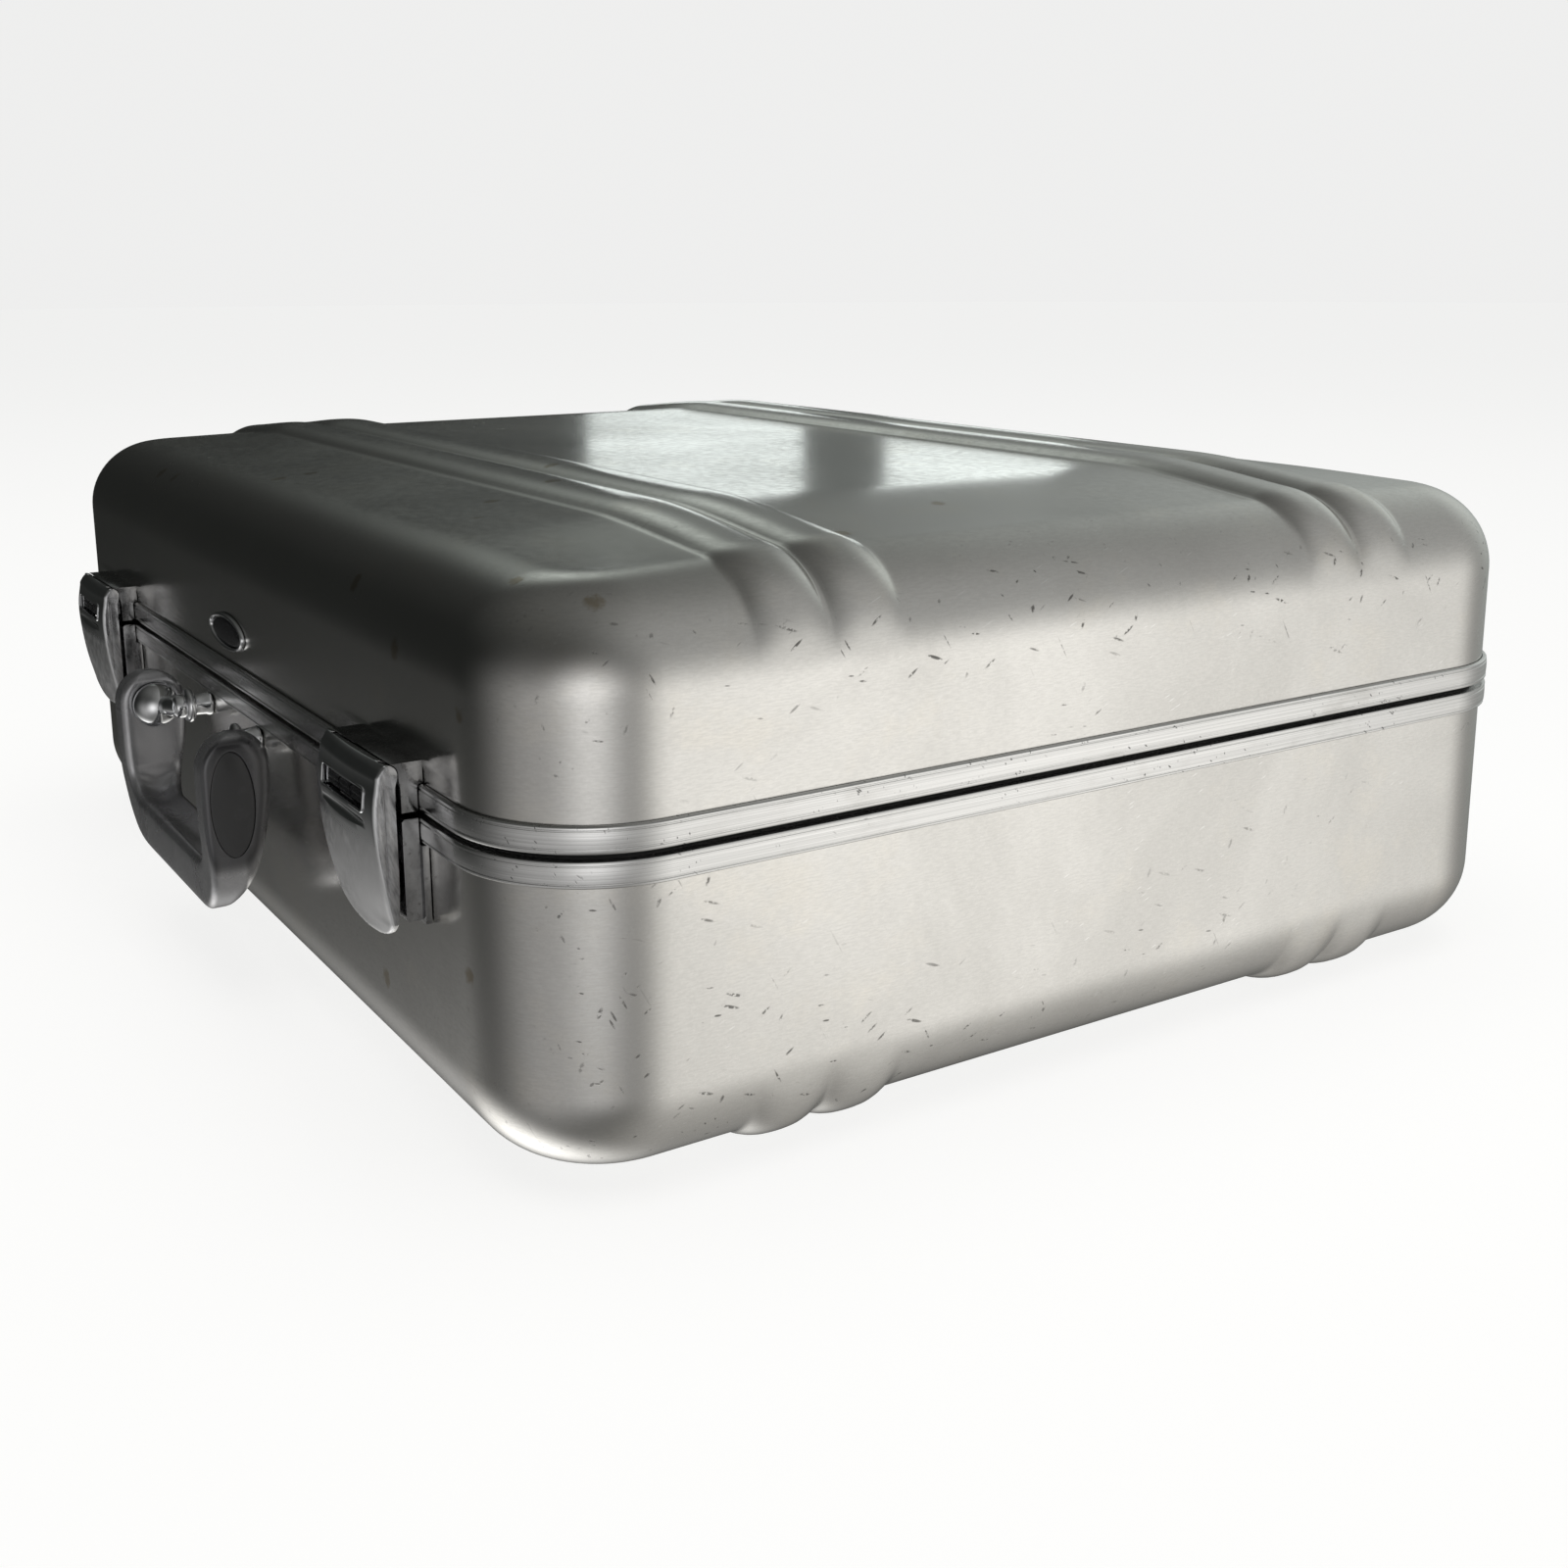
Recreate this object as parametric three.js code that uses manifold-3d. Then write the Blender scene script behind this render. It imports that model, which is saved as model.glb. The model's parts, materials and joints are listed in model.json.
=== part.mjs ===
// Hard shell aluminium suitcase: two pressed halves in extruded frames, two latches with
// number dials, a swinging bail handle, and two hinges at the back.
// Millimetres, +Z up. The case lies on its back panel: X runs along the handle side,
// -Y is the handle side, and z = 0 is the crest of the lower ridges.
import * as THREE from 'three';
import { mergeVertices } from 'three/addons/utils/BufferGeometryUtils.js';
import Module from 'manifold-3d';

const wasm = await Module();
wasm.setup();

// ---------------------------------------------------------------- driving dimensions
const LENGTH = 616;             // along X, outside of the pressed walls
const DEPTH = 490;              // along Y, outside of the pressed walls
const HEIGHT = 204;             // panel to panel, without the ridges
const RIDGE_RISE = 4;           // how far a pressed ridge stands above its panel
const CROWN = 8.5;              // how far the middle of the lid's panel bulges
const CROWN_SHOULDER = 118;     // width of the slope that leads up to it
const CROWN_STEP = 70;          // longest straight run left in a bulged panel
const CORNER_RADIUS = 51;       // upright corners, in plan
const EDGE_RADIUS = 35;         // panel to wall
const WALL = 1.6;               // aluminium sheet
const SEAM_Z = 123.3;           // middle of the gap between the two frames
const SEAM_GAP = 2.3;
const FRAME_HEIGHT = 9.2;       // visible bead of each frame
const FRAME_PROUD = 2.2;        // frame in front of the wall
const CLEAR = 0.3;              // gap between neighbouring pieces

const RIDGE_GROUP_Y = 130;      // middle of each pair of ridges
const RIDGE_PITCH = 30;
const RIDGE_WIDTH = 29.4;
const RIDGE_CREST = 12;         // flat top of a ridge

const LATCH_X = 200;
const LATCH_WIDTH = 59;
const LATCH_TOP = 142;
const LATCH_PIN = { u: 13.2, z: 138 };
const DIAL_AXIS = { u: 13.4, z: 128.1 };
const DIAL_RADIUS = 4.7;
const DIAL_PITCH = 11.5;
const DIAL_WIDTH = 10.4;

const POST_X = 38;
const POST_Z = 107;
const HANDLE_PIVOT = { u: 20.5, z: 104.5 };
const BALL_X = 58;
const BALL_RADIUS = 10.3;
const HANDLE_HALF = 76;         // outside of the arms
const HANDLE_ARM = 14;          // thickness of an arm
const HANDLE_BOTTOM = 38;
const GRIP_HEIGHT = 24;

const HINGE_X = 180;
const HINGE_WIDTH = 40;
const HINGE_OUT = 5.5;          // axis of the hinge, outward from the rear wall
const FOOT_X = 236;
const FOOT_HEIGHTS = { base: 58, lid: 158 };
const BADGE = { z: 147, halfX: 25, halfZ: 8.2, rim: 2.1 };
const PIN_RADIUS = 1.2;
const PIN_BORE = 1.5;
const FRONT_REACH = 35.5;       // furthest piece in front of the wall: the handle
const BACK_REACH = 11.3;        // furthest piece behind it: the feet

const CASE_Y = (FRONT_REACH - BACK_REACH) / 2;
const FRONT_WALL = -DEPTH / 2;
const PANEL_Z = RIDGE_RISE;
const TOP_Z = RIDGE_RISE + HEIGHT;
const LID_SEAM = SEAM_Z + SEAM_GAP / 2;
const BASE_SEAM = SEAM_Z - SEAM_GAP / 2;
const FRAME_WEB = 3.4;          // web of the frame, which the sheet's rim stands on
const RIM = FRAME_WEB + CLEAR;
const CORNER_STEPS = 8;

// ---------------------------------------------------------------- materials
function finish(color, roughness, metalness) {
  return new THREE.MeshStandardMaterial({ color, roughness, metalness });
}

const sheetMetal = () => finish(0xb9b6ae, 0.38, 1.0);
const frameMetal = () => finish(0xc9c9c8, 0.28, 1.0);
const chrome = () => finish(0xd0d2d4, 0.08, 1.0);
const steel = () => finish(0x9a9c9e, 0.3, 1.0);
const handleMetal = () => finish(0x8f8f92, 0.35, 0.9);
const blackPlastic = () => finish(0x141415, 0.3, 0.0);
const rubber = () => finish(0x1b1b1c, 0.8, 0.0);
const liningCloth = () => finish(0x3a3c40, 0.95, 0.0);

const model = new THREE.Group();
const caseGroup = new THREE.Group();
caseGroup.position.y = CASE_Y;
model.add(caseGroup);

function addPiece(name, geometry, material) {
  const mesh = new THREE.Mesh(geometry, material);
  mesh.name = name;
  caseGroup.add(mesh);
  return mesh;
}

// ---------------------------------------------------------------- solids
function toSolid(geometry) {
  const bare = new THREE.BufferGeometry();
  const source = geometry.index ? geometry : mergeVertices(geometry);
  bare.setAttribute('position', source.attributes.position.clone());
  bare.setIndex(source.index.clone());
  const merged = mergeVertices(bare, 1e-4);
  const mesh = new wasm.Mesh({
    numProp: 3,
    vertProperties: new Float32Array(merged.attributes.position.array),
    triVerts: new Uint32Array(merged.index.array),
  });
  return new wasm.Manifold(mesh);
}

function toGeometry(solid) {
  const mesh = solid.getMesh();
  const geometry = new THREE.BufferGeometry();
  geometry.setAttribute('position', new THREE.BufferAttribute(new Float32Array(mesh.vertProperties), 3));
  geometry.setIndex(new THREE.BufferAttribute(new Uint32Array(mesh.triVerts), 1));
  geometry.computeVertexNormals();
  return geometry;
}

function box(x0, x1, y0, y1, z0, z1) {
  const geometry = new THREE.BoxGeometry(x1 - x0, y1 - y0, z1 - z0);
  geometry.translate((x0 + x1) / 2, (y0 + y1) / 2, (z0 + z1) / 2);
  return geometry;
}

function rodAlongX(radius, x0, x1, y, z, sides = 20) {
  const geometry = new THREE.CylinderGeometry(radius, radius, x1 - x0, sides);
  geometry.rotateZ(Math.PI / 2);
  geometry.translate((x0 + x1) / 2, y, z);
  return geometry;
}

// A side profile on the handle side, given as [out from the wall, z], run along X.
function profileAlongX(points, x0, x1) {
  const shape = new THREE.Shape(points.map(([u, z]) => new THREE.Vector2(u, z)));
  const geometry = new THREE.ExtrudeGeometry(shape, { depth: x1 - x0, bevelEnabled: false });
  // local x is outward (-Y), local y is +Z, local z runs back along -X
  geometry.applyMatrix4(new THREE.Matrix4().set(
    0, 0, -1, x1,
    -1, 0, 0, FRONT_WALL,
    0, 1, 0, 0,
    0, 0, 0, 1));
  return geometry;
}

// A front outline, given as [x, z], run from one distance out of the wall to another.
function profileOutward(points, u0, u1) {
  const shape = new THREE.Shape(points.map(([x, z]) => new THREE.Vector2(x, z)));
  const geometry = new THREE.ExtrudeGeometry(shape, { depth: u1 - u0, bevelEnabled: false });
  geometry.applyMatrix4(new THREE.Matrix4().set(
    1, 0, 0, 0,
    0, 0, -1, FRONT_WALL - u0,
    0, 1, 0, 0,
    0, 0, 0, 1));
  return geometry;
}

function arcPoints(cx, cz, radius, from, to, steps) {
  const points = [];
  for (let i = 0; i <= steps; i += 1) {
    const angle = THREE.MathUtils.degToRad(from + (to - from) * i / steps);
    points.push([cx + radius * Math.cos(angle), cz + radius * Math.sin(angle)]);
  }
  return points;
}

function circlePoints(cx, cz, radius, steps = 20) {
  return arcPoints(cx, cz, radius, 0, 360 - 360 / steps, steps - 1);
}

// Rounded rectangle in plan, moved outward by `out`, always with the same number of points.
function planRing(out, z, halfX = LENGTH / 2, halfY = DEPTH / 2, radius = CORNER_RADIUS) {
  const ring = [];
  const centres = [[1, 1, 0], [-1, 1, 90], [-1, -1, 180], [1, -1, 270]];
  for (const [sx, sy, start] of centres) {
    for (let i = 0; i <= CORNER_STEPS; i += 1) {
      const angle = THREE.MathUtils.degToRad(start + 90 * i / CORNER_STEPS);
      ring.push(new THREE.Vector3(
        sx * (halfX - radius) + (radius + out) * Math.cos(angle),
        sy * (halfY - radius) + (radius + out) * Math.sin(angle),
        z));
    }
  }
  return ring;
}

// Joins rings of equal length into one closed body, either looped or capped at both ends.
function bodyFromRings(rings, looped) {
  const count = rings[0].length;
  const positions = rings.flat().flatMap((p) => [p.x, p.y, p.z]);
  const index = [];
  const spans = looped ? rings.length : rings.length - 1;
  for (let r = 0; r < spans; r += 1) {
    const next = (r + 1) % rings.length;
    for (let i = 0; i < count; i += 1) {
      const j = (i + 1) % count;
      const a = r * count + i;
      const b = r * count + j;
      const c = next * count + j;
      const d = next * count + i;
      index.push(a, b, c, a, c, d);
    }
  }
  if (!looped) {
    const last = (rings.length - 1) * count;
    for (let i = 1; i < count - 1; i += 1) {
      index.push(0, i + 1, i);
      index.push(last, last + i, last + i + 1);
    }
  }
  if (signedVolume(positions, index) < 0) {
    for (let i = 0; i < index.length; i += 3) {
      [index[i + 1], index[i + 2]] = [index[i + 2], index[i + 1]];
    }
  }
  const geometry = new THREE.BufferGeometry();
  geometry.setAttribute('position', new THREE.Float32BufferAttribute(positions, 3));
  geometry.setIndex(index);
  geometry.computeVertexNormals();
  return geometry;
}

function signedVolume(positions, index) {
  const corner = (i) => new THREE.Vector3().fromArray(positions, 3 * index[i]);
  let volume = 0;
  for (let i = 0; i < index.length; i += 3) {
    volume += corner(i).dot(corner(i + 1).cross(corner(i + 2)));
  }
  return volume;
}

// Everything above a seam is the same in both halves: `up` is +1 for the lid, -1 for the base.
const halves = {
  lid: { seam: LID_SEAM, up: 1, panel: TOP_Z, crown: CROWN },
  base: { seam: BASE_SEAM, up: -1, panel: PANEL_Z, crown: 0 },
};

// Bulges the panel of a half: nothing at the walls, the full crown inside the shoulders.
function crowned(half, solid) {
  if (half.crown === 0) return solid;
  const share = (inside) => THREE.MathUtils.smoothstep(inside, 0, CROWN_SHOULDER);
  return solid.refineToLength(CROWN_STEP).warp((point) => {
    const inX = share(LENGTH / 2 - Math.abs(point[0]));
    const inY = share(DEPTH / 2 - Math.abs(point[1]));
    point[2] += half.up * half.crown * inX * inY;
  });
}

// ---------------------------------------------------------------- pressed shells
// One side of the bent sheet: from the rim up the wall, round the edge radius to the panel.
function sheetRings(half, inward) {
  const rings = [];
  const radius = EDGE_RADIUS - inward;
  const arcZ = half.panel - half.up * EDGE_RADIUS;
  rings.push(planRing(-inward, half.seam + half.up * RIM));
  const steps = 6;
  for (let i = 0; i <= steps; i += 1) {
    const angle = Math.PI / 2 * i / steps;
    const out = -EDGE_RADIUS + radius * Math.cos(angle);
    rings.push(planRing(out, arcZ + half.up * radius * Math.sin(angle)));
  }
  return rings;
}

// How much of its full rise a ridge has, from its faded end on the wall to the panel.
function ridgeStations(half) {
  const fadeLength = 8;
  const arcX = LENGTH / 2 - EDGE_RADIUS;
  const arcZ = half.panel - half.up * EDGE_RADIUS;
  const stations = [{ x: LENGTH / 2, z: arcZ - half.up * fadeLength, nx: 1, nz: 0, share: 0 }];
  const steps = 6;
  for (let i = 0; i <= steps; i += 1) {
    const angle = Math.PI / 2 * i / steps;
    const nx = Math.cos(angle);
    const nz = half.up * Math.sin(angle);
    const share = THREE.MathUtils.smoothstep(i + 0.6, 0, 4.5);
    stations.push({ x: arcX + EDGE_RADIUS * nx, z: arcZ + EDGE_RADIUS * nz, nx, nz, share });
  }
  const mirrored = stations.map((s) => ({ ...s, x: -s.x, nx: -s.nx })).reverse();
  return stations.concat(mirrored);
}

function ridge(half, y) {
  const foot = -0.6;
  const under = -1.1;
  const section = [
    [-RIDGE_WIDTH / 2, 0], [-RIDGE_WIDTH / 2 + 5, 0.55], [-RIDGE_CREST / 2, 1],
    [RIDGE_CREST / 2, 1], [RIDGE_WIDTH / 2 - 5, 0.55], [RIDGE_WIDTH / 2, 0],
  ];
  const rings = ridgeStations(half).map((s) => {
    const place = (dy, height) => new THREE.Vector3(s.x + s.nx * height, y + dy, s.z + s.nz * height);
    const top = section.map(([dy, rise]) => place(dy, foot + (RIDGE_RISE - foot) * rise * s.share));
    return [...top, place(RIDGE_WIDTH / 2, under), place(-RIDGE_WIDTH / 2, under)];
  });
  return toSolid(bodyFromRings(rings, false));
}

function shellSolid(half) {
  const rings = [...sheetRings(half, 0).reverse(), ...sheetRings(half, WALL)];
  let solid = toSolid(bodyFromRings(rings, false));
  for (const group of [-1, 1]) {
    for (const side of [-0.5, 0.5]) {
      solid = solid.add(ridge(half, group * RIDGE_GROUP_Y + side * RIDGE_PITCH));
    }
  }
  return crowned(half, solid);
}

function buildShells() {
  addPiece('lid_shell', toGeometry(shellSolid(halves.lid)), sheetMetal());
  let base = shellSolid(halves.base);
  for (const side of [-1, 1]) {
    const hole = new THREE.CylinderGeometry(3, 3, 12, 20);
    hole.translate(side * POST_X, FRONT_WALL, POST_Z);
    base = base.subtract(toSolid(hole));
  }
  addPiece('base_shell', toGeometry(base), sheetMetal());
}

// ---------------------------------------------------------------- frames and seal
// Extruded section as [outward, away from the seam]: a slot holds the rim of the sheet.
function frameSection(grooved) {
  const section = [
    [FRAME_PROUD - 0.7, 0], [FRAME_PROUD, 0.7], [FRAME_PROUD, FRAME_HEIGHT - 0.9],
    [FRAME_PROUD - 0.9, FRAME_HEIGHT], [CLEAR, FRAME_HEIGHT], [CLEAR, FRAME_WEB],
    [-WALL - CLEAR, FRAME_WEB], [-WALL - CLEAR, 9.2], [-WALL - 2.1, 9.2],
    [-WALL - 2.1, FRAME_WEB], [-9, FRAME_WEB], [-9, 0],
  ];
  const groove = [[-7, 0], [-7, 1.8], [-3, 1.8], [-3, 0]];
  return grooved ? section.concat(groove) : section;
}

function frame(half, grooved) {
  const rings = frameSection(grooved).map(([out, away]) => planRing(out, half.seam + half.up * away));
  return bodyFromRings(rings, true);
}

function buildFrames() {
  addPiece('lid_frame', frame(halves.lid, false), frameMetal());
  addPiece('base_frame', frame(halves.base, true), frameMetal());
  const low = BASE_SEAM - 1.8 + CLEAR;
  const high = LID_SEAM - CLEAR;
  const seal = [
    [-3.3, low], [-3.3, high - 0.6], [-3.9, high], [-6.1, high], [-6.7, high - 0.6], [-6.7, low],
  ];
  addPiece('seam_gasket', bodyFromRings(seal.map(([out, z]) => planRing(out, z)), true), rubber());
}

// ---------------------------------------------------------------- linings
function lining(half) {
  const start = half.seam + half.up * 13;
  const away = 7.2;               // room for the nuts behind the handle posts
  const thickness = 1.8;
  const rings = [];
  for (const extra of [0, thickness]) {
    const inward = away + extra;
    const radius = EDGE_RADIUS - inward;
    const panel = half.panel - half.up * (WALL + 1 + extra);
    const side = [planRing(-inward, start)];
    const steps = 4;
    for (let i = 0; i <= steps; i += 1) {
      const angle = Math.PI / 2 * i / steps;
      side.push(planRing(-inward - radius + radius * Math.cos(angle),
        panel - half.up * radius * (1 - Math.sin(angle))));
    }
    rings.push(extra === 0 ? side.reverse() : side);
  }
  return toGeometry(crowned(half, toSolid(bodyFromRings(rings.flat(), false))));
}

function buildLinings() {
  addPiece('lid_lining', lining(halves.lid), liningCloth());
  addPiece('base_lining', lining(halves.base), liningCloth());
}

// ---------------------------------------------------------------- latches
const COVER_HALF = LATCH_WIDTH / 2;
const LUG_X = 23.2;              // the two ears of the lid block that hold the pin
const LUG_WIDTH = 2.4;
const COVER_BACK = 10.4;         // rear edge of the cover's side walls
const COVER_TIP = 76.4;
const CHEEK_X = 18.1;            // plates inside the cover that carry the dial spindle
const KNUCKLE_RADIUS = 4;

// Side profile of the swinging cover: knuckle at the top, bulge below it, tip at the bottom.
function coverProfile() {
  const front = [
    [17.9, 136.2], [18.9, 132.5], [19.6, 127.5], [19.8, 122], [19.4, 115],
    [18.4, 105.5], [16.9, 96], [15, 87.5], [13.2, 80.5], [12.4, COVER_TIP + 0.4],
  ];
  return [
    [11.2, COVER_TIP + 0.9], [11.7, 84], [COVER_BACK, 84.9], [COVER_BACK, 133.4],
    ...arcPoints(LATCH_PIN.u, LATCH_PIN.z, KNUCKLE_RADIUS, 215, 15, 9),
    ...front, [11.7, COVER_TIP],
  ];
}

function coverPlan(x) {
  // seen from above: slightly bowed front with rounded corners
  const half = COVER_HALF;
  const corner = 2.8;
  const side = 16;
  const points = [[-half, 0], [-half, side]];
  points.push(...arcPoints(-half + corner, side, corner, 180, 100, 4).slice(1));
  points.push([0, 20]);
  points.push(...arcPoints(half - corner, side, corner, 80, 0, 4));
  points.push([half, 0]);
  const shape = new THREE.Shape(points.map(([px, u]) => new THREE.Vector2(px + x, u)));
  const depth = LATCH_TOP - COVER_TIP + 2;
  const geometry = new THREE.ExtrudeGeometry(shape, { depth, bevelEnabled: false });
  geometry.applyMatrix4(new THREE.Matrix4().set(
    1, 0, 0, 0,
    0, -1, 0, FRONT_WALL,
    0, 0, -1, LATCH_TOP,
    0, 0, 0, 1));
  return geometry;
}

// Seen from the front: the sides draw in towards a rounded tip.
function coverFront(x) {
  const half = COVER_HALF;
  const points = [
    [-half, 143], [-half, 104], [-half + 1.2, 93],
    ...arcPoints(-half + 11.5, 87.5, 9.6, 180, 262, 5), [0, COVER_TIP],
    ...arcPoints(half - 11.5, 87.5, 9.6, 278, 360, 5), [half - 1.2, 93], [half, 104], [half, 143],
  ];
  return profileOutward(points.map(([px, z]) => [px + x, z]), 5, 25);
}

function latchCover(x) {
  const half = COVER_HALF;
  let cover = toSolid(profileAlongX(coverProfile(), x - half, x + half));
  cover = cover.intersect(toSolid(coverPlan(x)));
  cover = cover.intersect(toSolid(coverFront(x)));
  const hollow = [
    [8, 85.5], [12.3, 85.5], [14.4, 94], [16.2, 104.5], [17.2, 114], [17.6, 121],
    [17.5, 127.5], [17.1, 133.2], [8, 133.2],
  ];
  cover = cover.subtract(toSolid(profileAlongX(hollow, x - half + 2.4, x + half - 2.4)));
  const windowOutline = [[-20.5, 125], [20.5, 125], [20.5, 132.3], [-20.5, 132.3]];
  cover = cover.subtract(toSolid(profileOutward(windowOutline.map(([px, z]) => [px + x, z]), 15, 25)));
  const pinBore = rodAlongX(
    PIN_BORE, x - half + 1.5, x + half - 1.5, FRONT_WALL - LATCH_PIN.u, LATCH_PIN.z, 16);
  cover = cover.subtract(toSolid(pinBore));
  for (const side of [-1, 1]) {
    const middle = x + side * LUG_X;
    const wide = LUG_WIDTH / 2 + CLEAR;
    const around = circlePoints(LATCH_PIN.u, LATCH_PIN.z, 2.8, 16);
    const behind = [[7, 131], [13.6, 131], [13.6, 144], [7, 144]];
    cover = cover.subtract(toSolid(profileAlongX(around, middle - wide, middle + wide)));
    cover = cover.subtract(toSolid(profileAlongX(behind, middle - wide, middle + wide)));
    const cheekX = x + side * CHEEK_X;
    const cheek = [[11.3, 125.5], [17.6, 125.5], [17.3, 133.4], [11.3, 133.4]];
    let plate = toSolid(profileAlongX(cheek, cheekX - 0.9, cheekX + 0.9));
    const seat = circlePoints(DIAL_AXIS.u, DIAL_AXIS.z, PIN_BORE, 16);
    plate = plate.subtract(toSolid(profileAlongX(seat, cheekX - 2, cheekX + 2)));
    cover = cover.add(plate);
  }
  return toGeometry(cover);
}

// Block on the lid: a cap that reaches back over the frame and forward over the cover's
// knuckle, a lower body behind the dials, and two ears for the pin.
function latchBlock(x) {
  const half = COVER_HALF - 0.3;
  const overFrame = LID_SEAM + FRAME_HEIGHT + CLEAR;
  const profile = [
    [CLEAR, overFrame], [CLEAR, LATCH_TOP],
    ...arcPoints(LATCH_PIN.u, LATCH_PIN.z, KNUCKLE_RADIUS + 0.4, 114.6, 180, 5),
    [8.75, 136], [8.3, 133], [8.3, LID_SEAM], [FRAME_PROUD + CLEAR, LID_SEAM],
    [FRAME_PROUD + CLEAR, overFrame],
  ];
  let block = toSolid(profileAlongX(profile, x - half, x + half));
  for (const side of [-1, 1]) {
    const middle = x + side * LUG_X;
    const arm = [[8, 127.5], [9.5, 127.5], [13.2, 135.7], [11.2, 138.4], [8, 133]];
    const ear = circlePoints(LATCH_PIN.u, LATCH_PIN.z, 2.4, 16);
    const bore = circlePoints(LATCH_PIN.u, LATCH_PIN.z, PIN_BORE, 16);
    for (const outline of [arm, ear]) {
      block = block.add(toSolid(profileAlongX(outline, middle - LUG_WIDTH / 2, middle + LUG_WIDTH / 2)));
    }
    block = block.subtract(toSolid(profileAlongX(bore, middle - LUG_WIDTH, middle + LUG_WIDTH)));
  }
  return toGeometry(block);
}

// Block on the base: open channel at the front for the cover's claw, flange on the wall.
function catchBlock(x) {
  const half = COVER_HALF - 0.3;
  const frameFoot = BASE_SEAM - FRAME_HEIGHT - CLEAR;
  const front = 8.4;
  const foot = 85.6;
  const profile = [
    [CLEAR, foot], [front - 0.8, foot], [front, foot + 0.8], [front, BASE_SEAM - 0.8],
    [front - 0.8, BASE_SEAM],
    [FRAME_PROUD + CLEAR, BASE_SEAM], [FRAME_PROUD + CLEAR, frameFoot], [CLEAR, frameFoot],
  ];
  let block = toSolid(profileAlongX(profile, x - half, x + half));
  block = block.add(toSolid(profileAlongX(
    [[CLEAR, foot - 1], [2.6, foot - 1], [2.6, frameFoot], [CLEAR, frameFoot]],
    x - half - 2.8, x + half + 2.8)));
  const channel = profileAlongX([[4.4, 102], [14, 102], [14, 126], [4.4, 126]], x - 9.5, x + 9.5);
  const bumperSeat = profileAlongX([[6.2, 89.4], [14, 89.4], [14, 95], [6.2, 95]], x - 20.3, x + 20.3);
  return toGeometry(block.subtract(toSolid(channel)).subtract(toSolid(bumperSeat)));
}

function dial(x) {
  const outline = [];
  const teeth = 10;
  for (let i = 0; i < teeth; i += 1) {
    const step = 2 * Math.PI / teeth;
    for (const [share, radius] of [[0, DIAL_RADIUS - 0.5], [0.3, DIAL_RADIUS], [0.7, DIAL_RADIUS]]) {
      const angle = (i + share) * step;
      outline.push([DIAL_AXIS.u + radius * Math.cos(angle), DIAL_AXIS.z + radius * Math.sin(angle)]);
    }
  }
  const half = DIAL_WIDTH / 2;
  const hole = circlePoints(DIAL_AXIS.u, DIAL_AXIS.z, PIN_BORE, 16);
  const wheel = toSolid(profileAlongX(outline, x - half, x + half));
  const bore = toSolid(profileAlongX(hole, x - half - 1, x + half + 1));
  return toGeometry(wheel.subtract(bore));
}

// Steel claw fixed inside the cover, with a nose that stands in the catch block's channel.
function claw(x) {
  const profile = [
    [12, 100.5], [14.9, 100.5], [16.2, 112.5], [12, 112.5],
    [12, 110.5], [6.4, 109], [6.4, 106.2], [12, 105],
  ];
  return profileAlongX(profile, x - 7.5, x + 7.5);
}

function buildLatches() {
  for (const [side, sign] of [['left', -1], ['right', 1]]) {
    const x = sign * LATCH_X;
    const half = COVER_HALF;
    addPiece(`latch_block_${side}`, latchBlock(x), chrome());
    const pin = rodAlongX(
      PIN_RADIUS, x - half + 2, x + half - 2, FRONT_WALL - LATCH_PIN.u, LATCH_PIN.z, 14);
    addPiece(`latch_pin_${side}`, pin, steel());
    addPiece(`latch_cover_${side}`, latchCover(x), chrome());
    const spindle = rodAlongX(
      PIN_RADIUS, x - CHEEK_X - 1.2, x + CHEEK_X + 1.2, FRONT_WALL - DIAL_AXIS.u, DIAL_AXIS.z, 14);
    addPiece(`dial_spindle_${side}`, spindle, steel());
    for (let i = 0; i < 3; i += 1) {
      addPiece(`dial_${side}_${i + 1}`, dial(x + (i - 1) * DIAL_PITCH), blackPlastic());
    }
    addPiece(`latch_claw_${side}`, claw(x), steel());
    addPiece(`catch_block_${side}`, catchBlock(x), chrome());
    const bumper = profileAlongX([[6.5, 89.7], [12, 89.7], [12, 94.7], [6.5, 94.7]], x - 20, x + 20);
    addPiece(`catch_bumper_${side}`, bumper, rubber());
  }
}

// ---------------------------------------------------------------- handle
const INSET = { u: 23.6, z: 88.3, halfU: 9.2, halfZ: 25 };

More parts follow.
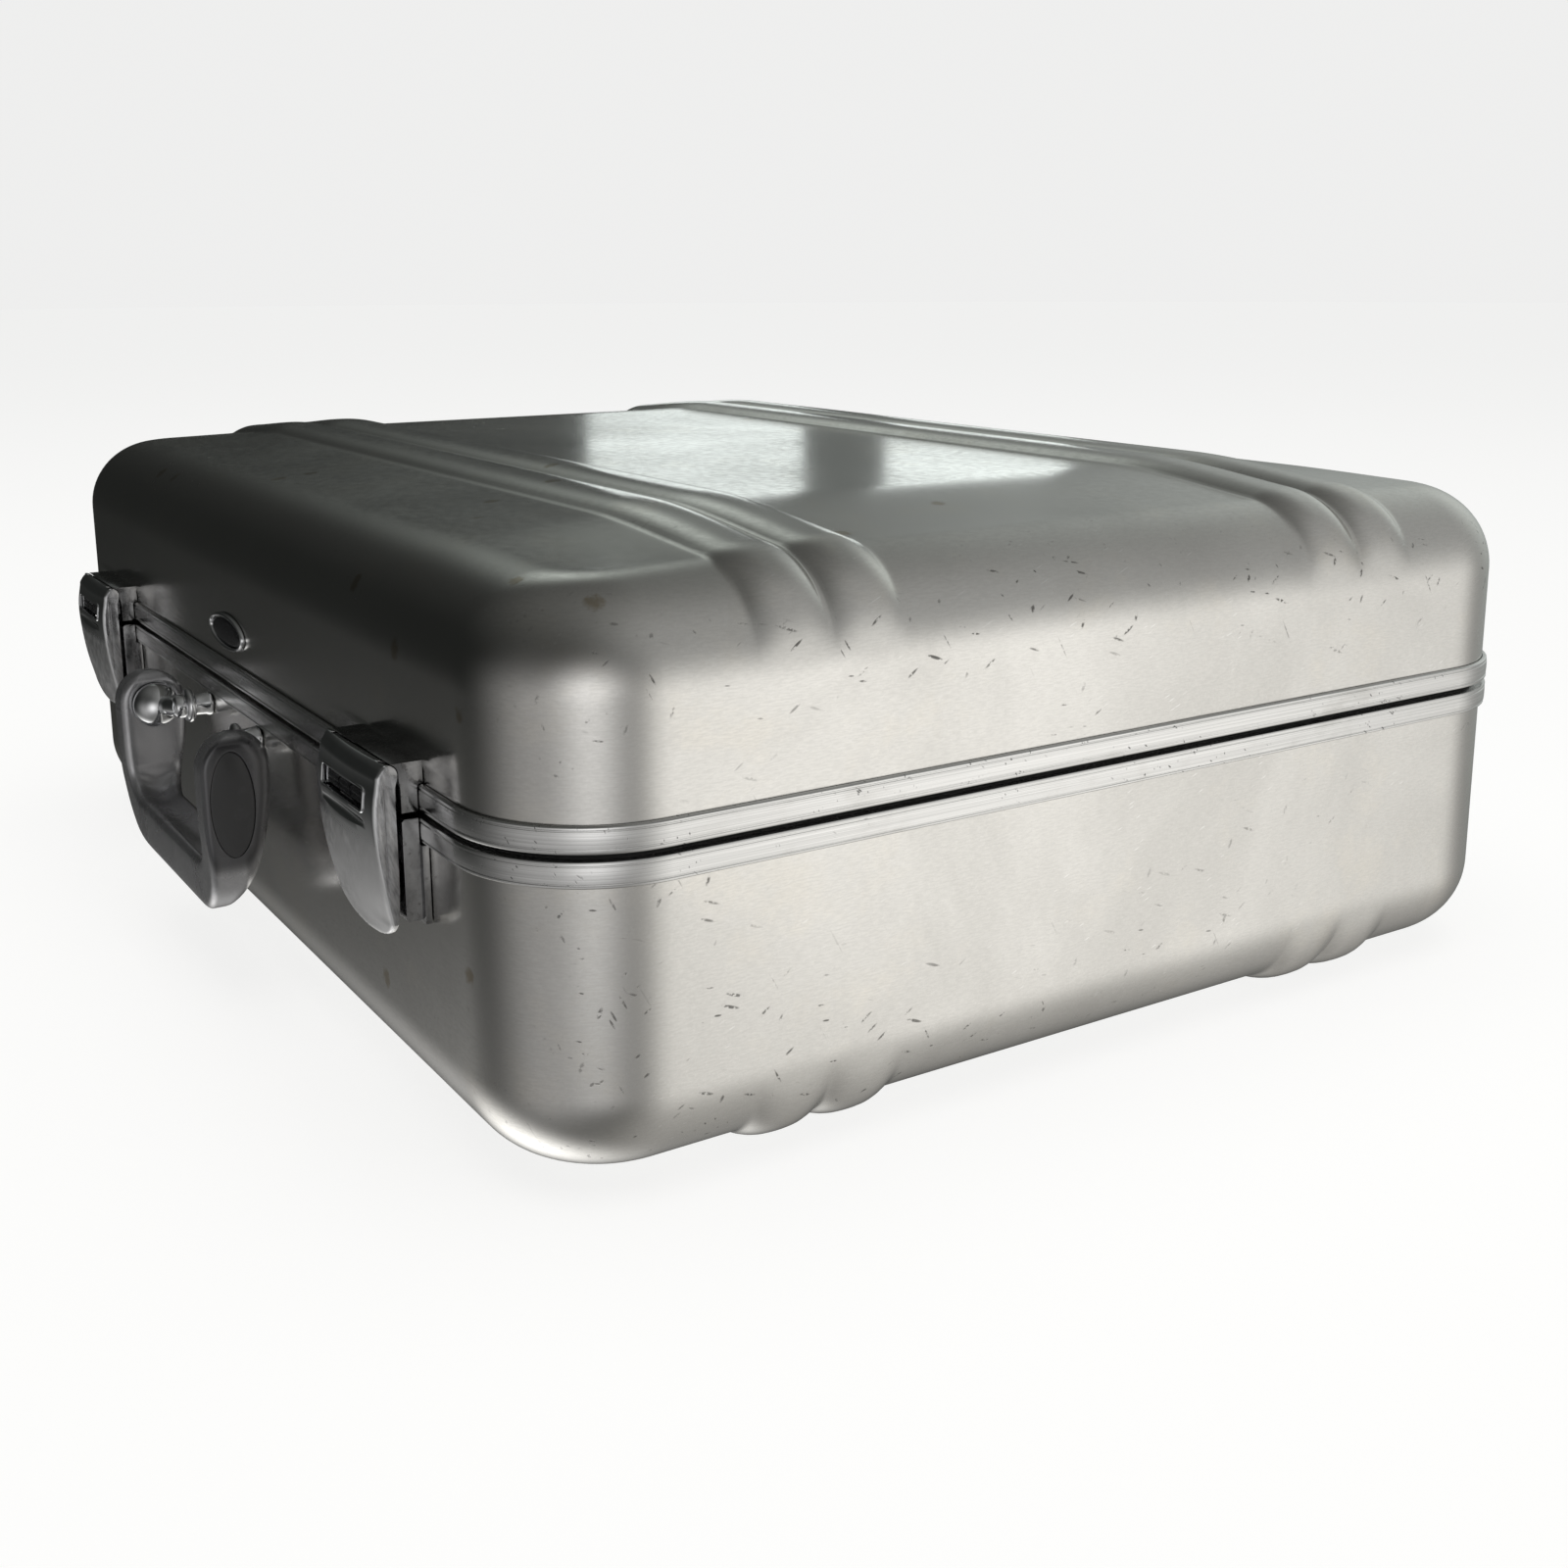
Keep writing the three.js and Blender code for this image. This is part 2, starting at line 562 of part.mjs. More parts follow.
// Post: shank through the wall, flange, ringed neck, then an arm to the ball it ends in.
function handlePost(sign) {
  const turned = [
    [0, -6.6], [2.6, -6.6], [2.6, CLEAR], [5.6, CLEAR], [5.6, 2.4], [5, 4], [5, 8],
    [7.4, 8.6], [8, 10.4], [7.4, 12.2], [5.6, 12.8], [5.6, 15.4], [4, 17.4], [0, 17.8],
  ];
  const lathe = new THREE.LatheGeometry(turned.map(([r, h]) => new THREE.Vector2(r, h)), 16);
  lathe.rotateX(Math.PI);
  lathe.translate(sign * POST_X, FRONT_WALL, POST_Z);
  const ballCentre = new THREE.Vector3(sign * BALL_X, FRONT_WALL - HANDLE_PIVOT.u, HANDLE_PIVOT.z);
  const elbow = new THREE.Vector3(sign * POST_X, FRONT_WALL - 13.2, POST_Z);
  const along = ballCentre.clone().sub(elbow);
  const neck = new THREE.CylinderGeometry(4.8, 5.6, along.length(), 14);
  neck.applyQuaternion(new THREE.Quaternion().setFromUnitVectors(new THREE.Vector3(0, 1, 0),
    along.clone().normalize()));
  neck.translate(...elbow.clone().add(ballCentre).multiplyScalar(0.5).toArray());
  const ball = new THREE.SphereGeometry(BALL_RADIUS, 16, 10);
  ball.rotateZ(Math.PI / 2);
  ball.translate(...ballCentre.toArray());
  const [x0, x1] = sign > 0 ? [BALL_X - 1, BALL_X + 12] : [-BALL_X - 12, -BALL_X + 1];
  const socket = rodAlongX(2.8, x0, x1, FRONT_WALL - HANDLE_PIVOT.u, HANDLE_PIVOT.z, 18);
  return toGeometry(toSolid(lathe).add(toSolid(neck)).add(toSolid(ball)).subtract(toSolid(socket)));
}

function postNut(sign) {
  const ring = new THREE.LatheGeometry([
    new THREE.Vector2(3, 0), new THREE.Vector2(5.4, 0), new THREE.Vector2(5.4, 4.2),
    new THREE.Vector2(3, 4.2), new THREE.Vector2(3, 0)], 12);
  ring.translate(sign * POST_X, FRONT_WALL + WALL + CLEAR, POST_Z);
  return toGeometry(toSolid(ring));
}

// Front outline of the bail: two arms with round tops, joined by the grip.
function bailOutline() {
  const top = HANDLE_PIVOT.z + 15;
  const outer = 34;
  const inner = 14;
  const half = HANDLE_HALF;
  const inside = half - HANDLE_ARM;
  const gripTop = HANDLE_BOTTOM + GRIP_HEIGHT;
  return [
    ...arcPoints(-half + outer, HANDLE_BOTTOM + outer, outer, 180, 270, 7),
    ...arcPoints(half - outer, HANDLE_BOTTOM + outer, outer, 270, 360, 7),
    [half, top - 6], [half - 2.5, top], [inside + 2, top], [inside, top - 2],
    ...arcPoints(inside - inner, gripTop + inner, inner, 0, -90, 5),
    ...arcPoints(-inside + inner, gripTop + inner, inner, 270, 180, 5),
    [-inside, top - 2], [-inside - 2, top], [-half + 2.5, top], [-half, top - 6],
  ];
}

// End outline of the bail: round about the pivot, widest below it, narrow at the grip.
function bailSide() {
  const { u, z } = HANDLE_PIVOT;
  return [
    ...arcPoints(u, z, 15, 0, 180, 8),
    [u - 14.6, 92], [u - 12.4, 78], [u - 8.4, 62], [u - 3.6, 48],
    ...arcPoints(u + 5, HANDLE_BOTTOM + 6.5, 6.5, 200, 340, 5),
    [u + 13.2, 62], [u + 14.8, 78], [u + 15, 92],
  ];
}

function insetOutline(grow) {
  const steps = 20;
  const points = [];
  for (let i = 0; i < steps; i += 1) {
    const angle = 2 * Math.PI * i / steps;
    points.push([
      INSET.u + (INSET.halfU + grow) * Math.cos(angle),
      INSET.z + (INSET.halfZ + grow) * Math.sin(angle)]);
  }
  return points;
}

function buildHandle() {
  const { u, z } = HANDLE_PIVOT;
  let grip = toSolid(profileOutward(bailOutline(), 0, 45));
  grip = grip.intersect(toSolid(profileAlongX(bailSide(), -HANDLE_HALF - 5, HANDLE_HALF + 5)));
  for (const sign of [-1, 1]) {
    const ball = new THREE.SphereGeometry(BALL_RADIUS + 0.5, 16, 10);
    ball.rotateZ(Math.PI / 2);
    ball.translate(sign * BALL_X, FRONT_WALL - u, z);
    grip = grip.subtract(toSolid(ball));
    const [x0, x1] = sign > 0 ? [BALL_X, BALL_X + 14] : [-BALL_X - 14, -BALL_X];
    grip = grip.subtract(toSolid(rodAlongX(2.8, x0, x1, FRONT_WALL - u, z, 18)));
    const deep = 1.6;
    const face = sign * HANDLE_HALF;
    const [p0, p1] = sign > 0 ? [face - deep, face + 2] : [face - 2, face + deep];
    grip = grip.subtract(toSolid(profileAlongX(insetOutline(CLEAR), p0, p1)));
    const name = sign < 0 ? 'left' : 'right';
    const [i0, i1] = sign > 0 ? [face - deep + CLEAR, face] : [face, face + deep - CLEAR];
    addPiece(`handle_inset_${name}`, profileAlongX(insetOutline(0), i0, i1), blackPlastic());
    const [r0, r1] = sign > 0 ? [BALL_X - 0.6, BALL_X + 13.6] : [-BALL_X - 13.6, -BALL_X + 0.6];
    addPiece(`handle_pin_${name}`, rodAlongX(2.5, r0, r1, FRONT_WALL - u, z, 18), steel());
    addPiece(`handle_post_${name}`, handlePost(sign), chrome());
    addPiece(`post_nut_${name}`, postNut(sign), steel());
  }
  addPiece('handle_grip', toGeometry(grip), handleMetal());
}

// ---------------------------------------------------------------- badge
function ovalPoints(inward) {
  const points = [];
  for (let i = 0; i < 28; i += 1) {
    const angle = 2 * Math.PI * i / 28;
    points.push([
      (BADGE.halfX - inward) * Math.cos(angle), BADGE.z + (BADGE.halfZ - inward) * Math.sin(angle)]);
  }
  return points;
}

function buildBadge() {
  const rim = toSolid(profileOutward(ovalPoints(0), CLEAR, 2.2));
  const opening = toSolid(profileOutward(ovalPoints(BADGE.rim), -1, 4));
  addPiece('badge_rim', toGeometry(rim.subtract(opening)), chrome());
  addPiece('badge_plate', profileOutward(ovalPoints(BADGE.rim + 0.4), CLEAR, 1.5), blackPlastic());
}

// ---------------------------------------------------------------- hinges and feet
// Leaf on a frame's outer face, with knuckles round the axis. `up` is +1 for the lid.
function hingeLeaf(x, up, knuckles) {
  const axisZ = SEAM_Z;
  const rear = DEPTH / 2;
  const face = rear + FRAME_PROUD + CLEAR;
  const axisY = rear + HINGE_OUT;
  const thick = 1.8;
  const near = axisZ + up * 3.3;
  const far = axisZ + up * 10.2;
  let leaf = toSolid(box(x - HINGE_WIDTH / 2, x + HINGE_WIDTH / 2, face, face + thick,
    Math.min(near, far), Math.max(near, far)));
  for (const [k0, k1] of knuckles) {
    leaf = leaf.add(toSolid(rodAlongX(2.8, x + k0, x + k1, axisY, axisZ, 20)));
    const root = axisZ + up * 0.9;
    leaf = leaf.add(toSolid(box(x + k0, x + k1, face, face + thick + 0.6,
      Math.min(root, near + up), Math.max(root, near + up))));
  }
  return toGeometry(leaf.subtract(toSolid(rodAlongX(PIN_BORE, x - 30, x + 30, axisY, axisZ, 16))));
}

function buildHinges() {
  for (const [side, sign] of [['left', -1], ['right', 1]]) {
    const x = sign * HINGE_X;
    const end = HINGE_WIDTH / 2;
    addPiece(`hinge_base_leaf_${side}`, hingeLeaf(x, -1, [[-end, -7.8], [7.8, end]]), steel());
    addPiece(`hinge_lid_leaf_${side}`, hingeLeaf(x, 1, [[-7.4, 7.4]]), steel());
    addPiece(`hinge_pin_${side}`,
      rodAlongX(PIN_RADIUS, x - end + 0.5, x + end - 0.5, DEPTH / 2 + HINGE_OUT, SEAM_Z, 14), steel());
  }
}

function foot(x, z) {
  const turned = [
    [0, CLEAR], [11, CLEAR], [11, 2.4], [8.6, 4], [7.8, 10.2], [6.8, BACK_REACH], [0, BACK_REACH],
  ];
  const geometry = new THREE.LatheGeometry(turned.map(([r, h]) => new THREE.Vector2(r, h)), 14);
  geometry.translate(x, DEPTH / 2, z);
  return toGeometry(toSolid(geometry));
}

function buildFeet() {
  for (const [side, sign] of [['left', -1], ['right', 1]]) {
    for (const [half, z] of Object.entries(FOOT_HEIGHTS)) {
      addPiece(`${half}_foot_${side}`, foot(sign * FOOT_X, z), rubber());
    }
  }
}

buildShells();
buildFrames();
buildLinings();
buildLatches();
buildHandle();
buildBadge();
buildHinges();
buildFeet();

export default model;
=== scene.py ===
"""Hard shell aluminium suitcase: the looks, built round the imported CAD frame.

Sizes are in millimetres and are turned into metres when a mesh is made. `u` is the distance
out of the handle side's wall, `away` the distance from the seam.
"""

import json
import math

import bmesh
import bpy
import numpy as np
from mathutils import Matrix, Vector


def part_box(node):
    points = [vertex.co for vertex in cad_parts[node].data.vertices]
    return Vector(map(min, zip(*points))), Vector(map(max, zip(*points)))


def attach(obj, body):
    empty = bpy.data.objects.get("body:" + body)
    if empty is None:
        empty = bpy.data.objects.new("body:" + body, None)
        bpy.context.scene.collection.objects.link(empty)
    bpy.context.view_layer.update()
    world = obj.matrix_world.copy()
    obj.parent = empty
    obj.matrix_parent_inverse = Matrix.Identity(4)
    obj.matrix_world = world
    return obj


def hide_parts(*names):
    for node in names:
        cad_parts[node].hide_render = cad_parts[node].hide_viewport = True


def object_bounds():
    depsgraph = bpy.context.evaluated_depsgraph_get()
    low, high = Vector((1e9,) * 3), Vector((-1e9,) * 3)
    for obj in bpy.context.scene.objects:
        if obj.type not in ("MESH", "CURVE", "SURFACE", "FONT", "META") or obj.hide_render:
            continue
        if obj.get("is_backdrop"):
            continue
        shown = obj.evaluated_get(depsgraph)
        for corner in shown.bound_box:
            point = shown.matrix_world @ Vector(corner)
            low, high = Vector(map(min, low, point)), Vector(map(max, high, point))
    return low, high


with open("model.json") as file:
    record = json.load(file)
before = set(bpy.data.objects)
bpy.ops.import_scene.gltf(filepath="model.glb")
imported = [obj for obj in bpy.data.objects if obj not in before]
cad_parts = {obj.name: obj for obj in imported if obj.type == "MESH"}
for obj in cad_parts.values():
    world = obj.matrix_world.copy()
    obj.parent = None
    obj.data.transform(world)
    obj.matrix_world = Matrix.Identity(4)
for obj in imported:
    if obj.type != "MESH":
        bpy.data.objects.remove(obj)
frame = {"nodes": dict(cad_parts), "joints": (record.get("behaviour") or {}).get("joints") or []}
cad_low, cad_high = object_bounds()

# ---------------- sizes read from the frame
MM = 0.001


def node_box(name):
    low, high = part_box(name)
    return low / MM, high / MM


lid_low, lid_high = node_box("lid_shell")
base_low, base_high = node_box("base_shell")
HALF_LENGTH = lid_high.x
FRONT_WALL = lid_low.y
HALF_DEPTH = (lid_high.y - lid_low.y) / 2
MIDDLE_Y = (lid_high.y + lid_low.y) / 2
REAR_WALL = lid_high.y
LID_SEAM = node_box("lid_frame")[0].z
BASE_SEAM = node_box("base_frame")[1].z
LID_RIM = lid_low.z
BASE_RIM = base_high.z
joints = {joint["name"]: joint for joint in frame["joints"]}


def joint_place(name):
    """(x, u, z) of a joint's axis, in millimetres."""
    x, y, z = (value / MM for value in joints[name]["pos_m"])
    return x, FRONT_WALL - y, z


# ---------------- the object's own sizes
RIDGE_RISE = 4.0
RIDGE_GROUP_Y = 130.0
RIDGE_PITCH = 30.0
RIDGE_HALF = 15.0
CROWN = 8.5                        # how far the middle of the lid's panel bulges
CROWN_SHOULDER = 118.0
PANEL_TOP = lid_high.z - RIDGE_RISE - CROWN
PANEL_BOTTOM = base_low.z + RIDGE_RISE
CORNER_RADIUS = 51.0
EDGE_RADIUS = 35.0
WALL = 1.6
CLEAR = 0.3
FRAME_HEIGHT = 9.2
FRAME_PROUD = 2.2
LATCH_WIDTH = 59.0
BALL_RADIUS = 10.3


# ---------------- mesh helpers
def make_object(name, points, faces, smooth_angle=35.0):
    """A mesh object from points in millimetres, smooth except at edges sharper than the angle."""
    mesh = bpy.data.meshes.new(name)
    mesh.from_pydata([tuple(float(c) * MM for c in p) for p in points], [], faces)
    mesh.validate()
    obj = bpy.data.objects.new(name, mesh)
    bpy.context.scene.collection.objects.link(obj)
    shade(obj, smooth_angle)
    return obj


def shade(obj, smooth_angle=35.0):
    obj.data.shade_smooth()
    obj.data.set_sharp_from_angle(angle=math.radians(smooth_angle))


def face_outward(obj):
    work = bmesh.new()
    work.from_mesh(obj.data)
    bmesh.ops.recalc_face_normals(work, faces=work.faces)
    work.to_mesh(obj.data)
    work.free()


def loft(name, rings, looped=False, smooth_angle=35.0):
    """Joins rings of equal length into one closed body, capped at both ends unless looped."""
    count = len(rings[0])
    points = [p for ring in rings for p in ring]
    faces = []
    spans = len(rings) if looped else len(rings) - 1
    for r in range(spans):
        nxt = (r + 1) % len(rings)
        for i in range(count):
            j = (i + 1) % count
            faces.append((r * count + i, r * count + j, nxt * count + j, nxt * count + i))
    if not looped:
        last = (len(rings) - 1) * count
        faces.append(tuple(reversed(range(count))))
        faces.append(tuple(range(last, last + count)))
    obj = make_object(name, points, faces, smooth_angle)
    face_outward(obj)
    shade(obj, smooth_angle)
    return obj


def applied(obj, smooth_angle=35.0):
    """Applies every modifier of the object to its mesh."""
    bpy.context.view_layer.update()
    graph = bpy.context.evaluated_depsgraph_get()
    mesh = bpy.data.meshes.new_from_object(obj.evaluated_get(graph))
    obj.modifiers.clear()
    obj.data = mesh
    shade(obj, smooth_angle)
    return obj


def boolean(obj, other, operation="DIFFERENCE", smooth_angle=35.0):
    step = obj.modifiers.new(operation, "BOOLEAN")
    step.operation = operation
    step.object = other
    step.solver = "MANIFOLD"
    applied(obj, smooth_angle)
    bpy.data.objects.remove(other)
    return obj


def soften(obj, width, segments=2, angle=32.0):
    """Rounds the sharp edges, so that they catch the light."""
    step = obj.modifiers.new("edges", "BEVEL")
    step.width = width * MM
    step.segments = segments
    step.limit_method = "ANGLE"
    step.angle_limit = math.radians(angle)
    applied(obj, 42.0)
    return obj


def arc(cx, cy, radius, start, end, steps):
    """Points on an arc from one angle to another, in degrees, both ends included."""
    angles = np.radians(np.linspace(start, end, steps + 1))
    return [(cx + radius * math.cos(a), cy + radius * math.sin(a)) for a in angles]


def run_along_x(name, outline, x0, x1, smooth_angle=35.0):
    """A side outline given as (u, z), run along X."""
    rings = [[(x, FRONT_WALL - u, z) for u, z in outline] for x in (x0, x1)]
    return loft(name, rings, smooth_angle=smooth_angle)


def run_outward(name, outline, u0, u1, smooth_angle=35.0):
    """A front outline given as (x, z), run straight out of the wall."""
    rings = [[(x, FRONT_WALL - u, z) for x, z in outline] for u in (u0, u1)]
    return loft(name, rings, smooth_angle=smooth_angle)


def turned(name, profile, centre, axis, sides=48, smooth_angle=35.0):
    """A turned piece: (radius, height) points spun about an axis that starts at centre."""
    axis = Vector(axis).normalized()
    turn = Vector((0, 0, 1)).rotation_difference(axis).to_matrix()
    rings = []
    for radius, height in profile:
        ring = []
        for k in range(sides):
            a = 2 * math.pi * k / sides
            local = Vector((radius * math.cos(a), radius * math.sin(a), height))
            ring.append(tuple(turn @ local + Vector(centre)))
        rings.append(ring)
    return loft(name, rings, smooth_angle=smooth_angle)


def ball(name, centre, radius, sides=48):
    profile = [(max(radius * math.sin(a), 0.02), -radius * math.cos(a))
               for a in np.linspace(0, math.pi, sides // 2 + 1)]
    return turned(name, profile, centre, (0, 0, 1), sides)


def rounded_box(name, low, high, width):
    (x0, y0, z0), (x1, y1, z1) = low, high
    rings = [[(x0, y0, z), (x1, y0, z), (x1, y1, z), (x0, y1, z)] for z in (z0, z1)]
    return soften(loft(name, rings), width)


def settle(obj, body, slot, material, *nodes):
    """Gives a finished piece its material, its body and the CAD nodes it stands for; the slot argument is
    not used.
    """
    obj.data.materials.clear()
    obj.data.materials.append(material)
    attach(obj, body)
    if nodes:
        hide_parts(*nodes)
    return obj


# ---------------- materials
MIX_A, MIX_B, MIX_COLOR = 6, 7, 2      # the colour sockets of a Mix node


def add_node(tree, kind, inputs, output, **settings):
    """Adds a shader node whose inputs are numbers or other nodes' outputs; returns its output."""
    node = tree.nodes.new(kind)
    for name, value in settings.items():
        setattr(node, name, value)
    for name, value in inputs.items():
        if isinstance(value, bpy.types.NodeSocket):
            tree.links.new(value, node.inputs[name])
        else:
            node.inputs[name].default_value = value
    return node.outputs[output]


class Surface:
    """A Principled material with the few node patterns that the metals and plastics share."""

    def __init__(self, name, color, roughness, metallic=0.0):
        self.material = bpy.data.materials.new(name)
        self.material.use_nodes = True
        self.tree = self.material.node_tree
        self.shader = self.tree.nodes["Principled BSDF"]
        self.shader.inputs["Metallic"].default_value = metallic
        self.shader.inputs["Roughness"].default_value = roughness
        self.shader.inputs["Base Color"].default_value = (*color, 1)
        self.place = add_node(self.tree, "ShaderNodeTexCoord", {}, "Object")

    def add(self, kind, inputs, output, **settings):
        return add_node(self.tree, f"ShaderNode{kind}", inputs, output, **settings)

    def stretched(self, scale, turn=(0, 0, 0)):
        inputs = {"Vector": self.place, "Rotation": [math.radians(a) for a in turn],
                  "Scale": [1 / part for part in scale]}
        return self.add("Mapping", inputs, "Vector", vector_type="TEXTURE")

    def axis(self, name):
        """One coordinate of the point, in metres."""
        return self.add("SeparateXYZ", {"Vector": self.place}, name)

    def facing(self, name):
        """One part of the direction that the surface faces."""
        return self.add("SeparateXYZ", {"Vector": self.place.node.outputs["Normal"]}, name)

    def noise(self, scale, detail=3.0, rough=0.5, turn=(0, 0, 0), distortion=0.0):
        inputs = {"Vector": self.stretched(scale, turn), "Scale": 1.0, "Detail": detail,
                  "Roughness": rough, "Distortion": distortion}
        return self.add("TexNoise", inputs, "Fac")

    def cells(self, scale, turn=(0, 0, 0)):
        """Distance to the nearest cell point, and a random value for that cell."""
        inputs = {"Vector": self.stretched(scale, turn), "Scale": 1.0, "Randomness": 1.0}
        distance = self.add("TexVoronoi", inputs, "Distance")
        pick = self.add("SeparateColor", {"Color": distance.node.outputs["Color"]}, "Red")
        return distance, pick

    def math(self, operation, a, b=0.0, clamp=False):
        return self.add("Math", {0: a, 1: b}, "Value", operation=operation, use_clamp=clamp)

    def ramp(self, value, low, high, to_low=0.0, to_high=1.0):
        inputs = {"Value": value, "From Min": low, "From Max": high, "To Min": to_low, "To Max": to_high}
        return self.add("MapRange", inputs, "Result", interpolation_type="SMOOTHSTEP")

    def blend(self, factor, a, b):
        a, b = ((*tone, 1) if isinstance(tone, tuple) else tone for tone in (a, b))
        inputs = {"Factor": factor, MIX_A: a, MIX_B: b}
        return self.add("Mix", inputs, MIX_COLOR, data_type="RGBA")

    def dashes(self, length, width, turn, density, clusters):
        """Short scratches all lying one way: the share of the cells that have one is `density`."""
        distance, pick = self.cells((1 / length, 1 / width, 1 / width), turn)
        mark = self.ramp(distance, 0.12, 0.26, 1.0, 0.0)
        chosen = self.ramp(pick, 1 - density, 1 - density + 0.01)
        return self.math("MULTIPLY", self.math("MULTIPLY", mark, chosen), clusters)

    def drive(self, name, value):
        self.tree.links.new(value, self.shader.inputs[name])

    def set_bump(self, value, distance):
        inputs = {"Strength": 1.0, "Distance": distance * MM, "Height": value}
        self.drive("Normal", self.add("Bump", inputs, "Normal"))


# scratches in the sheet: cell length and width in metres, lie, share of the cells that have one
SCRATCHES = ((0.020, 0.0028, (0, 20, 84), 0.12), (0.014, 0.0024, (0, -35, 96), 0.11),
             (0.030, 0.0020, (0, 62, 88), 0.08), (0.010, 0.0035, (0, -68, 80), 0.09),
             (0.045, 0.0018, (0, 6, 76), 0.06))


def sheet_metal():
    """Satin anodised sheet: fine grain, cloudy tone, brown spots, dark nicks and scratches."""
    s = Surface("satin_sheet", (0.80, 0.785, 0.76), 0.3, 1.0)
    grain = s.noise((260, 260, 1500), 4, 0.65)
    speck = s.noise((900, 900, 900), 2, 0.6)
    cloud = s.noise((7, 7, 7), 5, 0.6, distortion=0.6)
    patch = s.noise((24, 24, 30), 4, 0.65)
    tone = s.blend(s.ramp(cloud, 0.35, 0.68), (0.80, 0.79, 0.765), (0.70, 0.69, 0.665))
    tone = s.blend(s.ramp(patch, 0.50, 0.72, 0.0, 0.35), tone, (0.84, 0.80, 0.72))
    tone = s.blend(s.ramp(grain, 0.35, 0.65, 0.0, 0.22), tone, (0.60, 0.59, 0.57))
    tone = s.blend(s.ramp(speck, 0.45, 0.75, 0.0, 0.14), tone, (0.92, 0.91, 0.89))
    # brown and yellow spots, a few millimetres across
    spot_distance, spot_pick = s.cells((38, 38, 38))
    ragged = s.math("ADD", spot_distance, s.math("MULTIPLY", s.noise((420, 420, 420), 3), 0.16))
    spots = s.math("MULTIPLY", s.ramp(ragged, 0.17, 0.25, 1, 0), s.ramp(spot_pick, 0.86, 0.87))
    tone = s.blend(s.math("MULTIPLY", spots, 0.55), tone, (0.36, 0.27, 0.13))
    # nicks and scratches, gathered in a few places
    gathered = s.ramp(s.noise((9, 9, 13), 2, 0.5), 0.44, 0.60, 0.0, 0.9)
    level = s.axis("Z")
    end = s.ramp(s.math("ABSOLUTE", s.axis("X")), 0.284, 0.30)
    band = s.math("MULTIPLY", s.ramp(level, 0.158, 0.172), s.ramp(level, 0.186, 0.198, 1, 0))
    gathered = s.math("MAXIMUM", s.math("MULTIPLY", gathered, s.ramp(end, 0, 1, 0.25, 1)),
                      s.math("MULTIPLY", end, band))
    marks = 0.0
    for length, width, turn, density in SCRATCHES:
        marks = s.math("MAXIMUM", marks, s.dashes(length, width, turn, density, gathered))
    marks = s.math("MULTIPLY", marks, s.ramp(s.noise((700, 700, 700), 1), 0.35, 0.55), clamp=True)
    tone = s.blend(s.math("MULTIPLY", marks, 0.8), tone, (0.10, 0.095, 0.09))
    # light rub marks
    rubs = s.dashes(0.035, 0.0012, (8, -20, 100), 0.10, s.ramp(s.noise((11, 11, 9), 2), 0.48, 0.6))
    tone = s.blend(s.math("MULTIPLY", rubs, 0.5), tone, (0.97, 0.97, 0.96))
    s.drive("Base Color", tone)
    rough = s.ramp(cloud, 0.3, 0.7, 0.15, 0.21)
    rough = s.math("ADD", rough, s.ramp(grain, 0.3, 0.7, -0.02, 0.04))
    s.drive("Roughness", s.math("ADD", rough, s.math("MULTIPLY", marks, 0.25)))
    height = s.math("ADD", s.math("MULTIPLY", grain, 0.5), s.math("MULTIPLY", speck, 0.3))
    s.set_bump(s.math("SUBTRACT", height, s.math("MULTIPLY", marks, 6.0)), 0.005)
    return s.material


def frame_metal():
    """Polished extrusion with fine drawn lines along it and small knocks."""
    s = Surface("drawn_frame", (0.86, 0.86, 0.86), 0.2, 1.0)
    lines = s.noise((6, 6, 2600), 3, 0.7)
    cloud = s.noise((30, 30, 60), 4, 0.6)
    tone = s.blend(s.ramp(lines, 0.3, 0.7), (0.90, 0.90, 0.895), (0.72, 0.72, 0.715))
    tone = s.blend(s.ramp(cloud, 0.52, 0.75, 0, 0.5), tone, (0.62, 0.61, 0.59))
    gathered = s.ramp(s.noise((16, 16, 16), 2), 0.46, 0.58)
    marks = s.dashes(0.008, 0.0014, (0, 35, 70), 0.2, gathered)
    marks = s.math("MAXIMUM", marks, s.dashes(0.005, 0.0012, (30, 60, 20), 0.16, gathered))
    tone = s.blend(s.math("MULTIPLY", marks, 0.75), tone, (0.12, 0.12, 0.12))
    s.drive("Base Color", tone)
    s.drive("Roughness", s.math("ADD", s.ramp(lines, 0.3, 0.7, 0.16, 0.26), s.math("MULTIPLY", marks, 0.2)))
    s.set_bump(s.math("SUBTRACT", lines, s.math("MULTIPLY", marks, 2.0)), 0.02)
    return s.material


